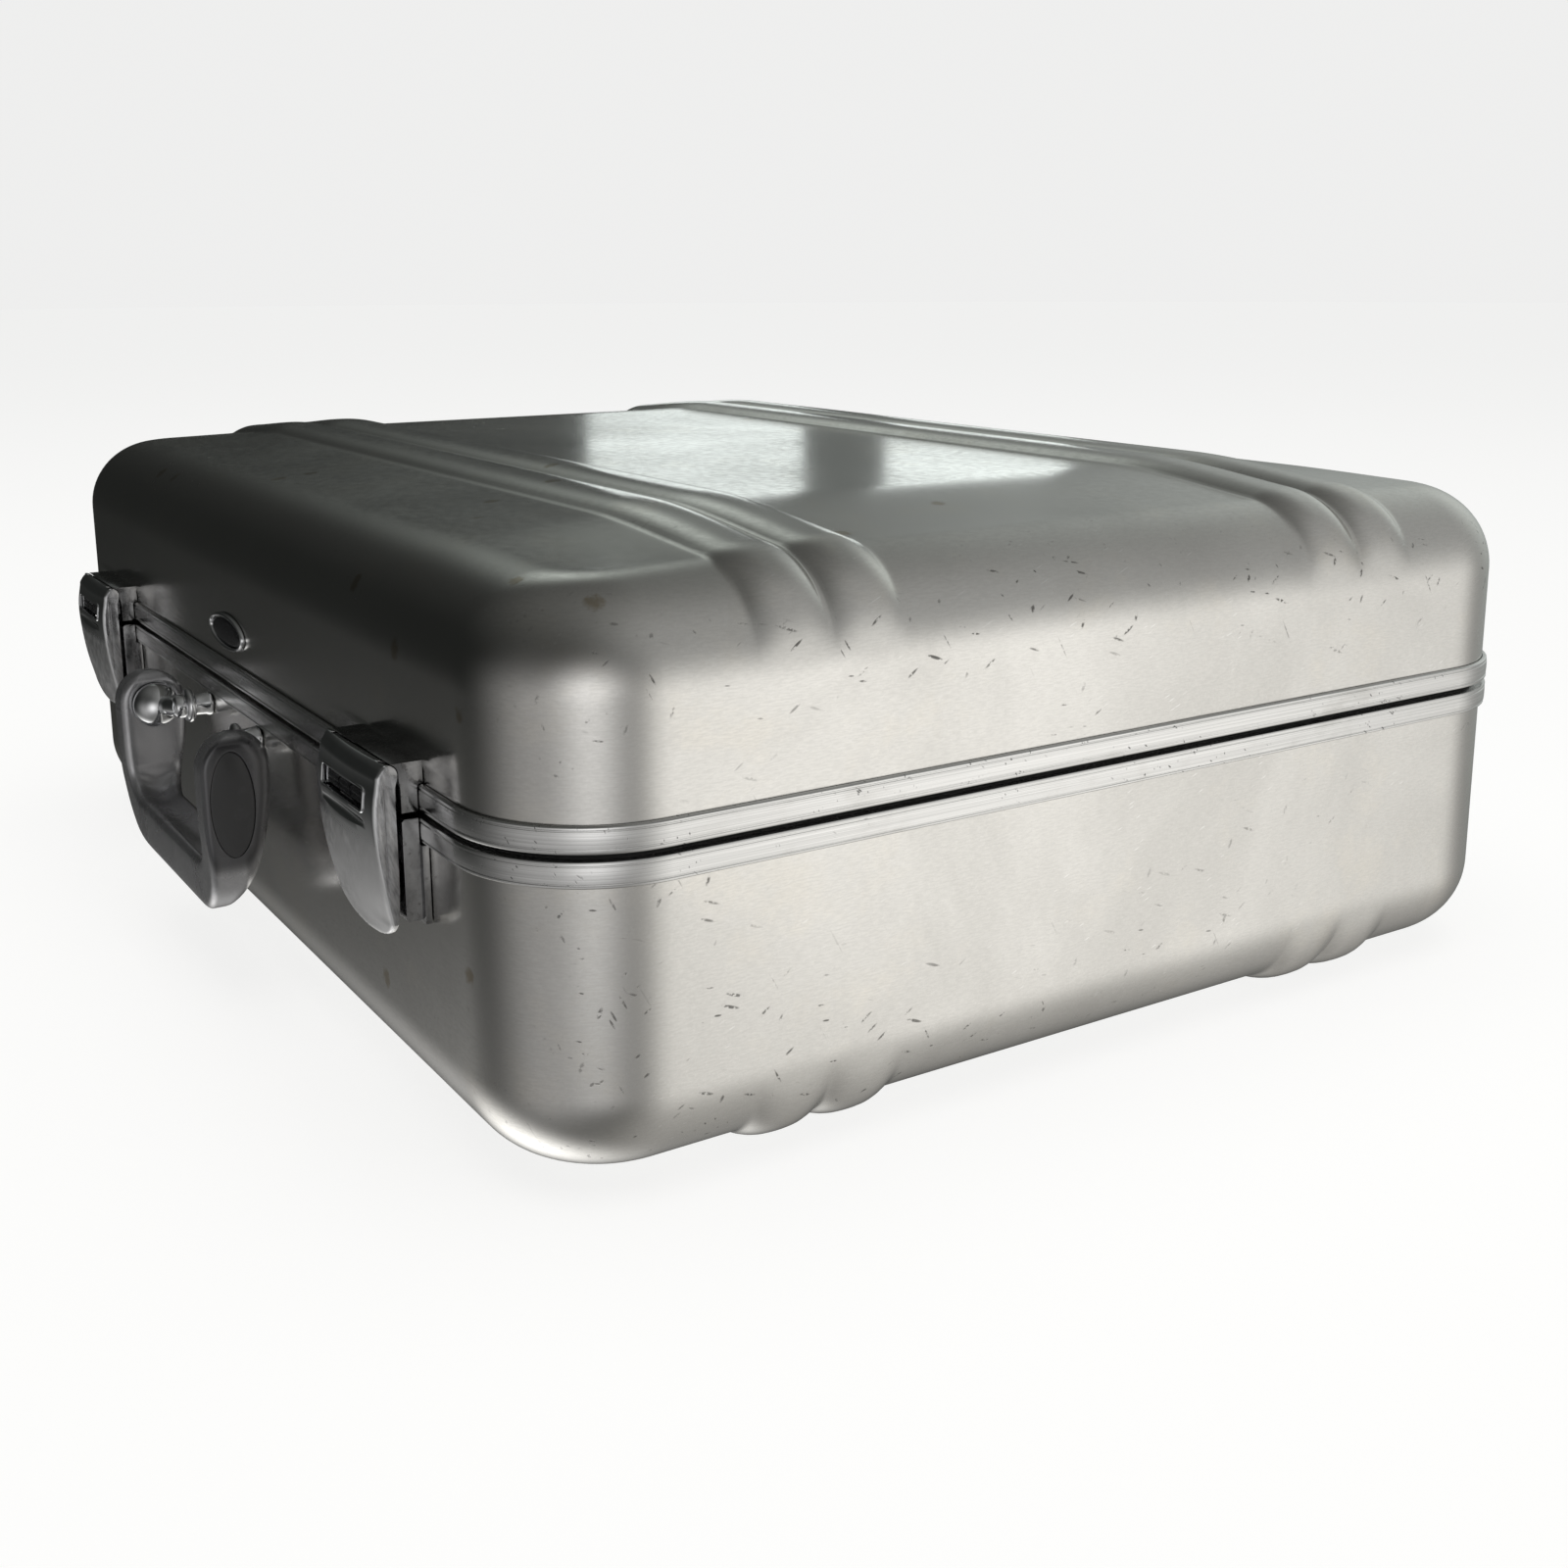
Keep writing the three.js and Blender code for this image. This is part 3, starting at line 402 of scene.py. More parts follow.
def chrome_metal():
    """Plated die casting: bright, with hairlines and a dull bloom where hands rub it."""
    s = Surface("worn_chrome", (0.80, 0.81, 0.82), 0.09, 1.0)
    bloom = s.ramp(s.noise((60, 60, 45), 5, 0.65, distortion=0.5), 0.48, 0.68)
    hairs = s.noise((300, 900, 120), 3, 0.6, turn=(20, 35, 0))
    # the levers' lower part is rubbed dull, and so are the pieces' narrow sides
    lever = s.math("MULTIPLY", s.ramp(s.axis("Z"), 0.112, 0.119, 1, 0),
                   s.ramp(s.math("ABSOLUTE", s.axis("X")), 0.16, 0.17))
    sides = s.math("MULTIPLY", s.ramp(s.math("ABSOLUTE", s.facing("X")), 0.8, 0.9),
                   s.ramp(s.math("ABSOLUTE", s.axis("X")), 0.16, 0.17))
    tone = s.blend(s.math("MULTIPLY", bloom, 0.5), (0.82, 0.83, 0.845), (0.66, 0.66, 0.67))
    tone = s.blend(s.math("MULTIPLY", lever, 0.8), tone, (0.90, 0.90, 0.91))
    tone = s.blend(s.math("MULTIPLY", sides, s.ramp(hairs, 0.3, 0.7, 0.7, 1.0)), tone, (0.36, 0.36, 0.37))
    s.drive("Base Color", tone)
    rough = s.math("ADD", s.math("MULTIPLY", bloom, 0.10), s.ramp(hairs, 0.45, 0.75, 0.05, 0.12))
    rough = s.math("ADD", rough, s.math("MULTIPLY", lever, s.ramp(hairs, 0.3, 0.7, 0.28, 0.42)))
    s.drive("Roughness", s.math("ADD", rough, s.math("MULTIPLY", sides, 0.16)))
    s.set_bump(hairs, 0.006)
    return s.material


def plated_metal():
    """Satin plating of the blocks behind the latches, speckled with wear."""
    s = Surface("satin_plating", (0.5, 0.5, 0.51), 0.24, 1.0)
    speck = s.noise((500, 500, 500), 3, 0.6)
    cloud = s.noise((90, 90, 60), 4, 0.6)
    tone = s.blend(s.ramp(cloud, 0.35, 0.7), (0.20, 0.20, 0.205), (0.36, 0.36, 0.365))
    s.drive("Base Color", s.blend(s.ramp(speck, 0.55, 0.7, 0, 0.5), tone, (0.12, 0.115, 0.11)))
    s.drive("Roughness", s.ramp(speck, 0.3, 0.7, 0.17, 0.28))
    s.set_bump(speck, 0.01)
    return s.material


def steel_metal():
    s = Surface("drawn_steel", (0.55, 0.55, 0.56), 0.3, 1.0)
    lines = s.noise((1800, 40, 1800), 3, 0.6)
    s.drive("Base Color", s.blend(s.ramp(lines, 0.3, 0.7), (0.60, 0.60, 0.61), (0.44, 0.44, 0.45)))
    s.drive("Roughness", s.ramp(lines, 0.3, 0.7, 0.22, 0.38))
    s.set_bump(lines, 0.01)
    return s.material


def handle_metal():
    """Satin grey coating on the bail, rubbed brighter in patches."""
    s = Surface("satin_handle", (0.42, 0.42, 0.43), 0.3, 0.85)
    patch = s.noise((28, 28, 18), 4, 0.55, distortion=0.4)
    fine = s.noise((1100, 1100, 1100), 2)
    tone = s.blend(s.ramp(patch, 0.35, 0.7), (0.40, 0.40, 0.412), (0.30, 0.30, 0.31))
    tone = s.blend(s.ramp(fine, 0.4, 0.7, 0, 0.15), tone, (0.62, 0.62, 0.64))
    outer = s.ramp(s.math("ABSOLUTE", s.axis("X")), 0.0735, 0.0755)
    s.drive("Base Color", s.blend(outer, tone, (0.10, 0.10, 0.104)))
    s.drive("Roughness", s.ramp(patch, 0.3, 0.7, 0.22, 0.30))
    s.set_bump(fine, 0.006)
    return s.material


def moulded(name, color, roughness, grain_depth):
    """Moulded plastic or rubber: fine texture, slightly uneven gloss."""
    s = Surface(name, color, roughness)
    fine = s.noise((1400, 1400, 1400), 3, 0.6)
    dust = s.noise((70, 70, 70), 4, 0.6)
    lighter = tuple(min(1.0, c * 2.2 + 0.012) for c in color)
    s.drive("Base Color", s.blend(s.ramp(dust, 0.5, 0.8, 0, 0.5), color, lighter))
    s.drive("Roughness", s.ramp(dust, 0.3, 0.7, roughness - 0.05, roughness + 0.08))
    s.set_bump(fine, grain_depth)
    return s.material


def lining_cloth():
    """Woven cotton and viscose lining: two crossing ribs of thread."""
    s = Surface("woven_lining", (0.13, 0.135, 0.15), 0.85)
    s.shader.inputs["Sheen Weight"].default_value = 0.35
    s.shader.inputs["Sheen Roughness"].default_value = 0.5
    threads = 0.0
    for turn in ((0, 0, 0), (0, 0, 90)):
        inputs = {"Vector": s.stretched((1, 1, 1), turn), "Scale": 520.0, "Distortion": 0.8,
                  "Detail": 1.0}
        threads = s.math("MAXIMUM", threads, s.add("TexWave", inputs, "Fac"))
    soft = s.noise((14, 14, 14), 4, 0.6)
    tone = s.blend(threads, (0.075, 0.08, 0.09), (0.17, 0.175, 0.19))
    s.drive("Base Color", s.blend(s.ramp(soft, 0.4, 0.7, 0, 0.4), tone, (0.21, 0.21, 0.22)))
    s.drive("Roughness", s.ramp(soft, 0.3, 0.7, 0.8, 0.95))
    s.set_bump(threads, 0.08)
    return s.material


SHEET = sheet_metal()
FRAME = frame_metal()
CHROME = chrome_metal()
PLATING = plated_metal()
STEEL = steel_metal()
HANDLE = handle_metal()
INSET = moulded("handle_inset_black", (0.03, 0.03, 0.031), 0.36, 0.012)
DIAL = moulded("dial_black", (0.012, 0.012, 0.013), 0.25, 0.008)
BADGE = moulded("badge_black", (0.006, 0.006, 0.007), 0.09, 0.003)
RUBBER = moulded("seal_rubber", (0.02, 0.02, 0.02), 0.7, 0.05)
CLOTH = lining_cloth()


# ---------------- pressed halves
ARC_STEPS = 10
EDGE_STEPS = 20
GRID_EASE = 12                     # how closely the panel's grid keeps to the ridge lines
RIDGE_FADE = (8.0, 56.0)           # slopes of the edge, in degrees, over which the ridges rise
CREASE_RISE = 0.55                 # the sheet's crease that runs on from the top of each latch
CREASE_LENGTH = 30.0


def spaced(stops):
    """Values between the stops, given as (value, step up to the next stop)."""
    values = []
    for (start, step), (end, _) in zip(stops, stops[1:]):
        count = max(1, round((end - start) / step))
        values += [start + (end - start) * k / count for k in range(count)]
    return values + [stops[-1][0]]


def side_stations(straight):
    """Stations along one side of the plan: (position on the straight, turn in radians)."""
    limit = straight[-1]
    turn = math.pi / 4
    before = [(-limit, -turn * (1 - k / ARC_STEPS)) for k in range(ARC_STEPS)]
    after = [(limit, turn * (k + 1) / ARC_STEPS) for k in range(ARC_STEPS)]
    return before + [(value, 0.0) for value in straight] + after


def plan_point(side, station, out, radius=CORNER_RADIUS):
    """A plan point and its outward direction; side is front, right, rear or left."""
    value, turn = station
    reach = radius + out
    along = value + reach * math.sin(turn)
    if side in ("front", "rear"):
        sign = -1 if side == "front" else 1
        point = (along, sign * (HALF_DEPTH - radius + reach * math.cos(turn)))
        return point, (math.sin(turn), sign * math.cos(turn))
    sign = 1 if side == "right" else -1
    point = (sign * (HALF_LENGTH - radius + reach * math.cos(turn)), along)
    return point, (sign * math.cos(turn), math.sin(turn))


def perimeter(x_stations, y_stations):
    """The plan's stations once round, as (side, station), with the grid cell each belongs to."""
    nx, ny = len(x_stations) - 1, len(y_stations) - 1
    loop = [("front", x_stations[i], (i, 0)) for i in range(nx)]
    loop += [("right", y_stations[j], (nx, j)) for j in range(ny)]
    loop += [("rear", x_stations[i], (i, ny)) for i in range(nx, 0, -1)]
    loop += [("left", y_stations[j], (0, j)) for j in range(ny, 0, -1)]
    return loop


def crown_at(x, y):
    """How far the lid's panel bulges at a plan point measured from the case's middle."""
    inside_x = smoothstep(HALF_LENGTH - abs(x), 0, CROWN_SHOULDER)
    return CROWN * inside_x * smoothstep(HALF_DEPTH - abs(y), 0, CROWN_SHOULDER)


def tray(name, levels, corner_out, panel_z, lift, x_straight, y_straight):
    """An open tray: rings up the wall and round the edge, then a grid across the panel.

    levels are (out, z, slope) with slope 0 on the wall and 90 degrees on the panel; lift is the
    extra height of the surface at a point, along its own normal.
    """
    x_stations = side_stations(x_straight)
    y_stations = side_stations(y_straight)
    loop = perimeter(x_stations, y_stations)
    up = 1 if panel_z > levels[0][1] else -1
    points = []
    for out, z, slope in levels:
        for side, station, _ in loop:
            (x, y), (nx, ny) = plan_point(side, station, out)
            extra = lift(side, x, y, z, slope)
            flat = math.cos(slope) * extra
            points.append((x + nx * flat, y + ny * flat + MIDDLE_Y, z + up * math.sin(slope) * extra))
    count = len(loop)
    faces = []
    for r in range(len(levels) - 1):
        for i in range(count):
            j = (i + 1) % count
            faces.append((r * count + i, r * count + j, (r + 1) * count + j, (r + 1) * count + i))
    # panel grid: its border is the last ring
    index = {cell: (len(levels) - 1) * count + k for k, (_, _, cell) in enumerate(loop)}
    border = {cell: plan_point(side, station, corner_out)[0] for side, station, cell in loop}
    nx, ny = len(x_stations) - 1, len(y_stations) - 1
    low, high = border[(0, 0)], border[(nx, ny)]
    for i in range(1, nx):
        for j in range(1, ny):
            x, y = border[(i, 0)][0], border[(0, j)][1]
            across = (x - low[0]) / (high[0] - low[0])
            along = (y - low[1]) / (high[1] - low[1])
            px = x + (border[(0, j)][0] - low[0]) * (1 - across) ** GRID_EASE
            px += (border[(nx, j)][0] - high[0]) * across ** GRID_EASE
            py = y + (border[(i, 0)][1] - low[1]) * (1 - along) ** GRID_EASE
            py += (border[(i, ny)][1] - high[1]) * along ** GRID_EASE
            index[(i, j)] = len(points)
            z = panel_z + up * lift("panel", px, py, panel_z, math.pi / 2)
            points.append((px, py + MIDDLE_Y, z))
    for i in range(nx):
        for j in range(ny):
            faces.append((index[(i, j)], index[(i + 1, j)], index[(i + 1, j + 1)], index[(i, j + 1)]))
    if up > 0:
        points = [(x, y, z + crown_at(x, y - MIDDLE_Y)) for x, y, z in points]
    obj = make_object(name, points, faces)
    work = bmesh.new()
    work.from_mesh(obj.data)
    bmesh.ops.recalc_face_normals(work, faces=work.faces)
    centre = Vector((0, 0, panel_z * MM))
    middle = min(work.faces, key=lambda face: (face.calc_center_median() - centre).length)
    if middle.normal.z * up < 0:
        bmesh.ops.reverse_faces(work, faces=work.faces)
    work.to_mesh(obj.data)
    work.free()
    shade(obj, 50.0)
    return obj


def smoothstep(value, low, high):
    t = min(1.0, max(0.0, (value - low) / (high - low)))
    return t * t * (3 - 2 * t)


def ridge_height(y):
    """Height of the pressed ridges: steep at the foot, broad and round at the crest."""
    best = -9.0
    for group in (-1, 1):
        for side in (-0.5, 0.5):
            d = abs(y - group * RIDGE_GROUP_Y - side * RIDGE_PITCH) / RIDGE_HALF
            best = max(best, RIDGE_RISE * (1 - d ** 2.6))
    fillet = 0.5
    height = (best + math.sqrt(best * best + fillet * fillet)) / 2
    top = (RIDGE_RISE + math.sqrt(RIDGE_RISE ** 2 + fillet ** 2)) / 2
    return height * RIDGE_RISE / top


def shell_lift(panel_z, up):
    """Extra height of the sheet: ridges on the panel and over the ends, a crease by each latch."""
    arc_z = panel_z - up * EDGE_RADIUS

    def lift(side, x, y, z, slope):
        extra = 0.0
        if side in ("left", "right", "panel"):
            extra += ridge_height(y) * smoothstep(math.degrees(slope), *RIDGE_FADE)
        if side == "front" and up > 0 and z < arc_z:
            for sign in (-1, 1):
                beside = abs(x - sign * LATCH_X) - LATCH_WIDTH / 2
                fade = 1 - smoothstep(beside, 0.0, CREASE_LENGTH)
                extra += CREASE_RISE * fade * math.exp(-((z - LATCH_TOP + 1.0) / 1.3) ** 2)
        return extra

    return lift


LATCH_X, _, LATCH_PIN_Z = joint_place("latch_swing_right")
LATCH_TOP = node_box("latch_block_right")[1].z


def pressed_half(name, rim, panel_z):
    up = 1 if panel_z > rim else -1
    arc_z = panel_z - up * EDGE_RADIUS
    heights = spaced([(0, 3), (6, 1.4), (22, 5), (abs(arc_z - rim) - 6, 2), (abs(arc_z - rim), 1)])
    levels = [(0.0, rim + up * h, 0.0) for h in heights]
    for k in range(1, EDGE_STEPS + 1):
        slope = math.pi / 2 * k / EDGE_STEPS
        out = EDGE_RADIUS * (math.cos(slope) - 1)
        levels.append((out, arc_z + up * EDGE_RADIUS * math.sin(slope), slope))
    x_limit = HALF_LENGTH - CORNER_RADIUS
    y_limit = HALF_DEPTH - CORNER_RADIUS
    x_straight = spaced([(-x_limit, 4), (-160, 12), (160, 4), (x_limit, 4)])
    y_straight = spaced([(-y_limit, 4), (-163, 1.3), (-87, 9), (87, 1.3), (163, 4), (y_limit, 4)])
    obj = tray(name, levels, -EDGE_RADIUS, panel_z, shell_lift(panel_z, up), x_straight, y_straight)
    step = obj.modifiers.new("sheet", "SOLIDIFY")
    step.thickness = WALL * MM
    step.offset = -1
    return obj


for half, rim, panel_z in (("lid", LID_RIM, PANEL_TOP), ("base", BASE_RIM, PANEL_BOTTOM)):
    sheet = pressed_half(f"{half}_sheet", rim, panel_z)
    settle(sheet, half, "shell_sheet", SHEET, f"{half}_shell")


# ---------------- frames and seal
def round_the_case(name, section, smooth_angle=35.0):
    """Sweeps a section of (out, z) points round the whole case."""
    x_limit = HALF_LENGTH - CORNER_RADIUS
    y_limit = HALF_DEPTH - CORNER_RADIUS
    loop = perimeter(side_stations([-x_limit, x_limit]), side_stations([-y_limit, y_limit]))
    rings = []
    for out, z in section:
        ring = []
        for side, station, _ in loop:
            x, y = plan_point(side, station, out)[0]
            ring.append((x, y + MIDDLE_Y, z))
        rings.append(ring)
    return loft(name, rings, looped=True, smooth_angle=smooth_angle)


def frame_section(lid):
    """Section of an extrusion as (out, away from the seam): lip, drawn face, slot for the rim."""
    proud = FRAME_PROUD
    top = FRAME_HEIGHT
    face = [(proud - 0.75, 0.0), (proud - 0.25, 0.15), (proud - 0.05, 0.55), (proud - 0.05, 1.25),
            (proud - 0.4, 1.5), (proud - 0.4, 1.7), (proud - 0.1, 1.95)]
    face += [(proud - 0.1 * ((a - 4.8) / 2.85) ** 2, a) for a in np.linspace(2.3, 7.4, 7)]
    face += [(proud - 0.45, 7.65), (proud - 0.45, 7.85), (proud - 0.2, 8.1), (proud - 0.25, 8.7),
             (proud - 0.6, 9.05), (proud - 1.1, top)]
    slot = [(CLEAR, top), (CLEAR, 3.4), (-WALL - CLEAR, 3.4), (-WALL - CLEAR, top),
            (-WALL - 2.1, top), (-WALL - 2.1, 3.4), (-9.0, 3.4), (-9.0, 0.0)]
    groove = [] if lid else [(-7.0, 0.0), (-7.0, 1.8), (-3.0, 1.8), (-3.0, 0.0)]
    return face + slot + groove


for half, seam, up in (("lid", LID_SEAM, 1), ("base", BASE_SEAM, -1)):
    section = [(out, seam + up * away) for out, away in frame_section(half == "lid")]
    rim_frame = round_the_case(f"{half}_rim_frame", section)
    settle(rim_frame, half, "frame_extrusion", FRAME, f"{half}_frame")
seal_low, seal_high = BASE_SEAM - 1.5, LID_SEAM - CLEAR
seal = [(-3.3, seal_low), (-3.3, seal_high - 1.2), (-3.6, seal_high - 0.4), (-4.3, seal_high),
        (-5.7, seal_high), (-6.4, seal_high - 0.4), (-6.7, seal_high - 1.2), (-6.7, seal_low)]
settle(round_the_case("seam_seal", seal, 60.0), "base", "seal_rubber", RUBBER, "seam_gasket")


# ---------------- latches
PIN_U = joint_place("latch_swing_right")[1]
DIAL_U, DIAL_Z = joint_place("dial_turn_right_2")[1:]
COVER_HALF = LATCH_WIDTH / 2
COVER_BACK = 10.4
COVER_TIP = node_box("latch_cover_right")[0].z
KNUCKLE = 4.0
COVER_BOW = 1.3                    # how far the cover's front bows out at its middle
FRONT_BULGE = [(COVER_TIP, 11.9), (77.2, 12.5), (80.5, 13.2), (87.5, 15.0), (96.0, 16.9),
               (105.5, 18.4), (115.0, 19.4), (122.0, 19.8), (127.5, 19.6), (132.5, 18.9),
               (136.2, 17.9)]      # level and front of the cover's middle line
WINDOW = (125.0, 132.3)            # lower and upper edge of the dial window
WINDOW_HALF = 20.5
LUG_X = 23.2                       # the block's two ears that hold the pin
LUG_HALF = 1.2
EAR_RADIUS = 2.4
CHEEK_X = 18.1                     # plates inside the cover that carry the dial spindle
PIN_BORE = 1.5


def smooth_value(table, at):
    """Value between the points of a table, on a smooth curve through them."""
    keys = [k for k, _ in table]
    values = [v for _, v in table]
    if at <= keys[0]:
        return values[0]
    if at >= keys[-1]:
        return values[-1]
    k = next(i for i in range(len(keys) - 1) if keys[i] <= at <= keys[i + 1])

    def slope(i):
        low, high = max(0, i - 1), min(len(keys) - 1, i + 1)
        return (values[high] - values[low]) / (keys[high] - keys[low])

    span = keys[k + 1] - keys[k]
    t = (at - keys[k]) / span
    a, b = values[k], values[k + 1]
    m0, m1 = slope(k) * span, slope(k + 1) * span
    return ((2 * t**3 - 3 * t**2 + 1) * a + (t**3 - 2 * t**2 + t) * m0
            + (3 * t**2 - 2 * t**3) * b + (t**3 - t**2) * m1)


def cover_half_width(z):
    """Half the width of the cover: straight, drawn in below, round at the tip."""
    if z >= 104:
        return COVER_HALF
    if z >= 90:
        return COVER_HALF - 1.2 * ((104 - z) / 14) ** 2
    drop = min(1.0, (90 - z) / (90 - COVER_TIP))
    return (COVER_HALF - 1.2) * (1 - drop**2.8) ** 0.5 if drop < 1 else 0.6


def cover_ring(x, z, front, half, back):
    """Plan section: flat back, straight sides, round corners, a gently bowed front."""
    corner = min(1.9, half * 0.4, (front - back) * 0.45)
    bow = min(COVER_BOW, (front - back) * 0.3)
    inner = half - corner
    level = front - bow - corner
    ring = [(-half, back)] + arc(-inner, level, corner, 180, 100, 5)
    ring += [(k * inner, front - bow * k * k) for k in np.linspace(-0.96, 0.96, 15)]
    ring += arc(inner, level, corner, 80, 0, 5) + [(half, back)]
    return [(px + x, FRONT_WALL - u, z) for px, u in ring]


def knuckle_levels():
    """The rounded top: (z, front, back) up the cylinder about the pin."""
    levels = []
    for a in np.linspace(-20, 84, 9):
        z = LATCH_PIN_Z + KNUCKLE * math.sin(math.radians(a))
        reach = KNUCKLE * math.cos(math.radians(a))
        swell = 1.15 * smoothstep(30 - a, 0, 50)
        levels.append((z, PIN_U + reach + swell, PIN_U - reach))
    return levels


def circle(u, z, radius, sides=24):
    return arc(u, z, radius, 0, 360 - 360 / sides, sides - 1)


def window_outline(grow):
    """Front outline of the dial window, with its corners rounded."""
    low, high = WINDOW
    radius = 1.2
    end = WINDOW_HALF - radius
    outline = arc(-end, low + radius, radius + grow, 180, 270, 5)
    outline += arc(end, low + radius, radius + grow, 270, 360, 5)
    outline += arc(end, high - radius, radius + grow, 0, 90, 5)
    return outline + arc(-end, high - radius, radius + grow, 90, 180, 5)


def latch_cover(side, x):
    rings = []
    tip = [COVER_TIP + rise for rise in (0, 0.15, 0.45, 1, 1.8, 3, 4.6, 6.4)]
    for z in tip + [84.4, 84.9] + list(np.arange(87.5, 133.4, 2.4)) + [133.4]:
        back = COVER_BACK if z > 84.5 else 10.9 - 0.03 * (z - COVER_TIP)
        rings.append(cover_ring(x, z, smooth_value(FRONT_BULGE, z), cover_half_width(z), back))
    for z, front, back in knuckle_levels():
        rings.append(cover_ring(x, z, front, COVER_HALF, back))
    cover = loft(f"latch_lever_{side}", rings)
    inner = COVER_HALF - 2.4
    hollow = [(5, 85.5), (12.3, 85.5), (14.4, 94), (16.2, 104.5), (17.2, 114), (17.6, 121),
              (17.5, 127.5), (17.1, 133.2), (5, 133.2)]
    boolean(cover, run_along_x("cut", hollow, x - inner, x + inner))
    low, high = WINDOW
    boolean(cover, run_outward("cut", [(px + x, z) for px, z in window_outline(0)], 14, 26))
    # long grip scoop just under the window, and the step lines down each side
    scoop = [(0.05, -27), (1.7, -25), (2.5, -20), (2.9, 0), (2.5, 20), (1.7, 25), (0.05, 27)]
    boolean(cover, turned("cut", scoop, (x, FRONT_WALL - 21.2, WINDOW[0] - 4.4), (1, 0, 0)))
    for sign in (-1, 1):
        edge = x + sign * COVER_HALF
        groove = [(13.2, 83), (13.8, 83), (14.6, 96), (14.8, 134), (14.1, 134), (13.9, 96)]
        boolean(cover, run_along_x("cut", groove, edge - 0.45, edge + 0.45))
        lug = x + sign * LUG_X
        slot = [(7, 131), (13.6, 131), (13.6, 144), (7, 144)]
        for shape in (slot, circle(PIN_U, LATCH_PIN_Z, EAR_RADIUS + 0.4)):
            boolean(cover, run_along_x("cut", shape, lug - LUG_HALF - CLEAR, lug + LUG_HALF + CLEAR))
    bore_end = COVER_HALF - 1.5
    boolean(cover, run_along_x("cut", circle(PIN_U, LATCH_PIN_Z, PIN_BORE), x - bore_end, x + bore_end))
    soften(cover, 0.32)
    cheek = [(11.3, 125.5), (17.8, 125.5), (17.5, 133.6), (11.3, 133.6)]
    for sign in (-1, 1):
        middle = x + sign * CHEEK_X
        plate = run_along_x("join", cheek, middle - 0.9, middle + 0.9)
        boolean(plate, run_along_x("cut", circle(DIAL_U, DIAL_Z, PIN_BORE), middle - 2, middle + 2))
        boolean(cover, plate, "UNION")
    return cover


def window_rim(side, x):
    """Thin bright lip round the dial window, standing just proud of the cover's front."""
    rings = []
    for a in np.radians(np.linspace(0, 360, 11)[:-1]):
        ring = []
        for px, z in window_outline(0.45 + 0.55 * math.cos(a)):
            front = smooth_value(FRONT_BULGE, z) - COVER_BOW * (px / COVER_HALF) ** 2
            ring.append((x + px, FRONT_WALL - front - 0.55 * math.sin(a) + 0.1, z))
        rings.append(ring)
    return loft(f"window_lip_{side}", rings, looped=True, smooth_angle=60)


def latch_block(side, x):
    half = COVER_HALF - 0.3
    over = LID_SEAM + FRAME_HEIGHT + CLEAR
    outline = [(CLEAR, over), (CLEAR, LATCH_TOP)]
    outline += arc(PIN_U, LATCH_PIN_Z, KNUCKLE + 0.4, 114.6, 180, 8)
    outline += [(8.75, 136), (8.3, 133), (8.3, LID_SEAM), (FRAME_PROUD + CLEAR, LID_SEAM),
                (FRAME_PROUD + CLEAR, over - 1.2), (FRAME_PROUD - 0.4, over)]
    block = run_along_x(f"latch_body_{side}", outline, x - half, x + half)
    for sign in (-1, 1):
        lug = x + sign * LUG_X
        arm = [(8, 127.5), (9.5, 127.5), (13.2, 135.7), (11.2, 138.4), (8, 133)]
        for shape in (arm, circle(PIN_U, LATCH_PIN_Z, EAR_RADIUS)):
            boolean(block, run_along_x("join", shape, lug - LUG_HALF, lug + LUG_HALF), "UNION")
        boolean(block, run_along_x("cut", circle(PIN_U, LATCH_PIN_Z, PIN_BORE), lug - 2, lug + 2))
    return soften(block, 0.38)


def catch_block(side, x):
    half = COVER_HALF - 0.3
    foot_z = BASE_SEAM - FRAME_HEIGHT - CLEAR
    bottom = node_box("catch_block_right")[0].z
    front = 8.4
    outline = [(CLEAR, bottom + 1.0), (front - 0.8, bottom + 1.0), (front, bottom + 1.8),
               (front, BASE_SEAM - 0.9), (front - 0.9, BASE_SEAM),
               (FRAME_PROUD + CLEAR, BASE_SEAM),
               (FRAME_PROUD + CLEAR, foot_z), (CLEAR, foot_z)]
    block = run_along_x(f"catch_body_{side}", outline, x - half, x + half)
    flange = [(CLEAR, bottom), (2.6, bottom), (2.6, foot_z), (CLEAR, foot_z)]
    boolean(block, run_along_x("join", flange, x - half - 2.8, x + half + 2.8), "UNION")
    channel = [(4.4, 102), (14, 102), (14, 126), (4.4, 126)]
    boolean(block, run_along_x("cut", channel, x - 9.5, x + 9.5))
    seat = [(6.2, 89.4), (14, 89.4), (14, 95), (6.2, 95)]
    boolean(block, run_along_x("cut", seat, x - 20.3, x + 20.3))
    return soften(block, 0.5)


for side, sign in (("left", -1), ("right", 1)):
    centre = sign * abs(LATCH_X)
    body = f"latch_{side}"
    settle(latch_cover(side, centre), body, "chrome", CHROME, f"latch_cover_{side}")
    settle(window_rim(side, centre), body, "chrome", CHROME)
    settle(latch_block(side, centre), "lid", "chrome", PLATING, f"latch_block_{side}")
    settle(catch_block(side, centre), "base", "chrome", PLATING, f"catch_block_{side}")


# ---------------- handle
PIVOT_U, PIVOT_Z = joint_place("handle_swing")[1:]
BALL_X = 58.0
POST_X = 38.0
POST_Z = 107.0
HANDLE_HALF = node_box("handle_grip")[1].x
HANDLE_BOTTOM = node_box("handle_grip")[0].z
ARM = 14.0
GRIP_HEIGHT = 24.0
ARM_END = 15.0                     # radius of an arm's round end
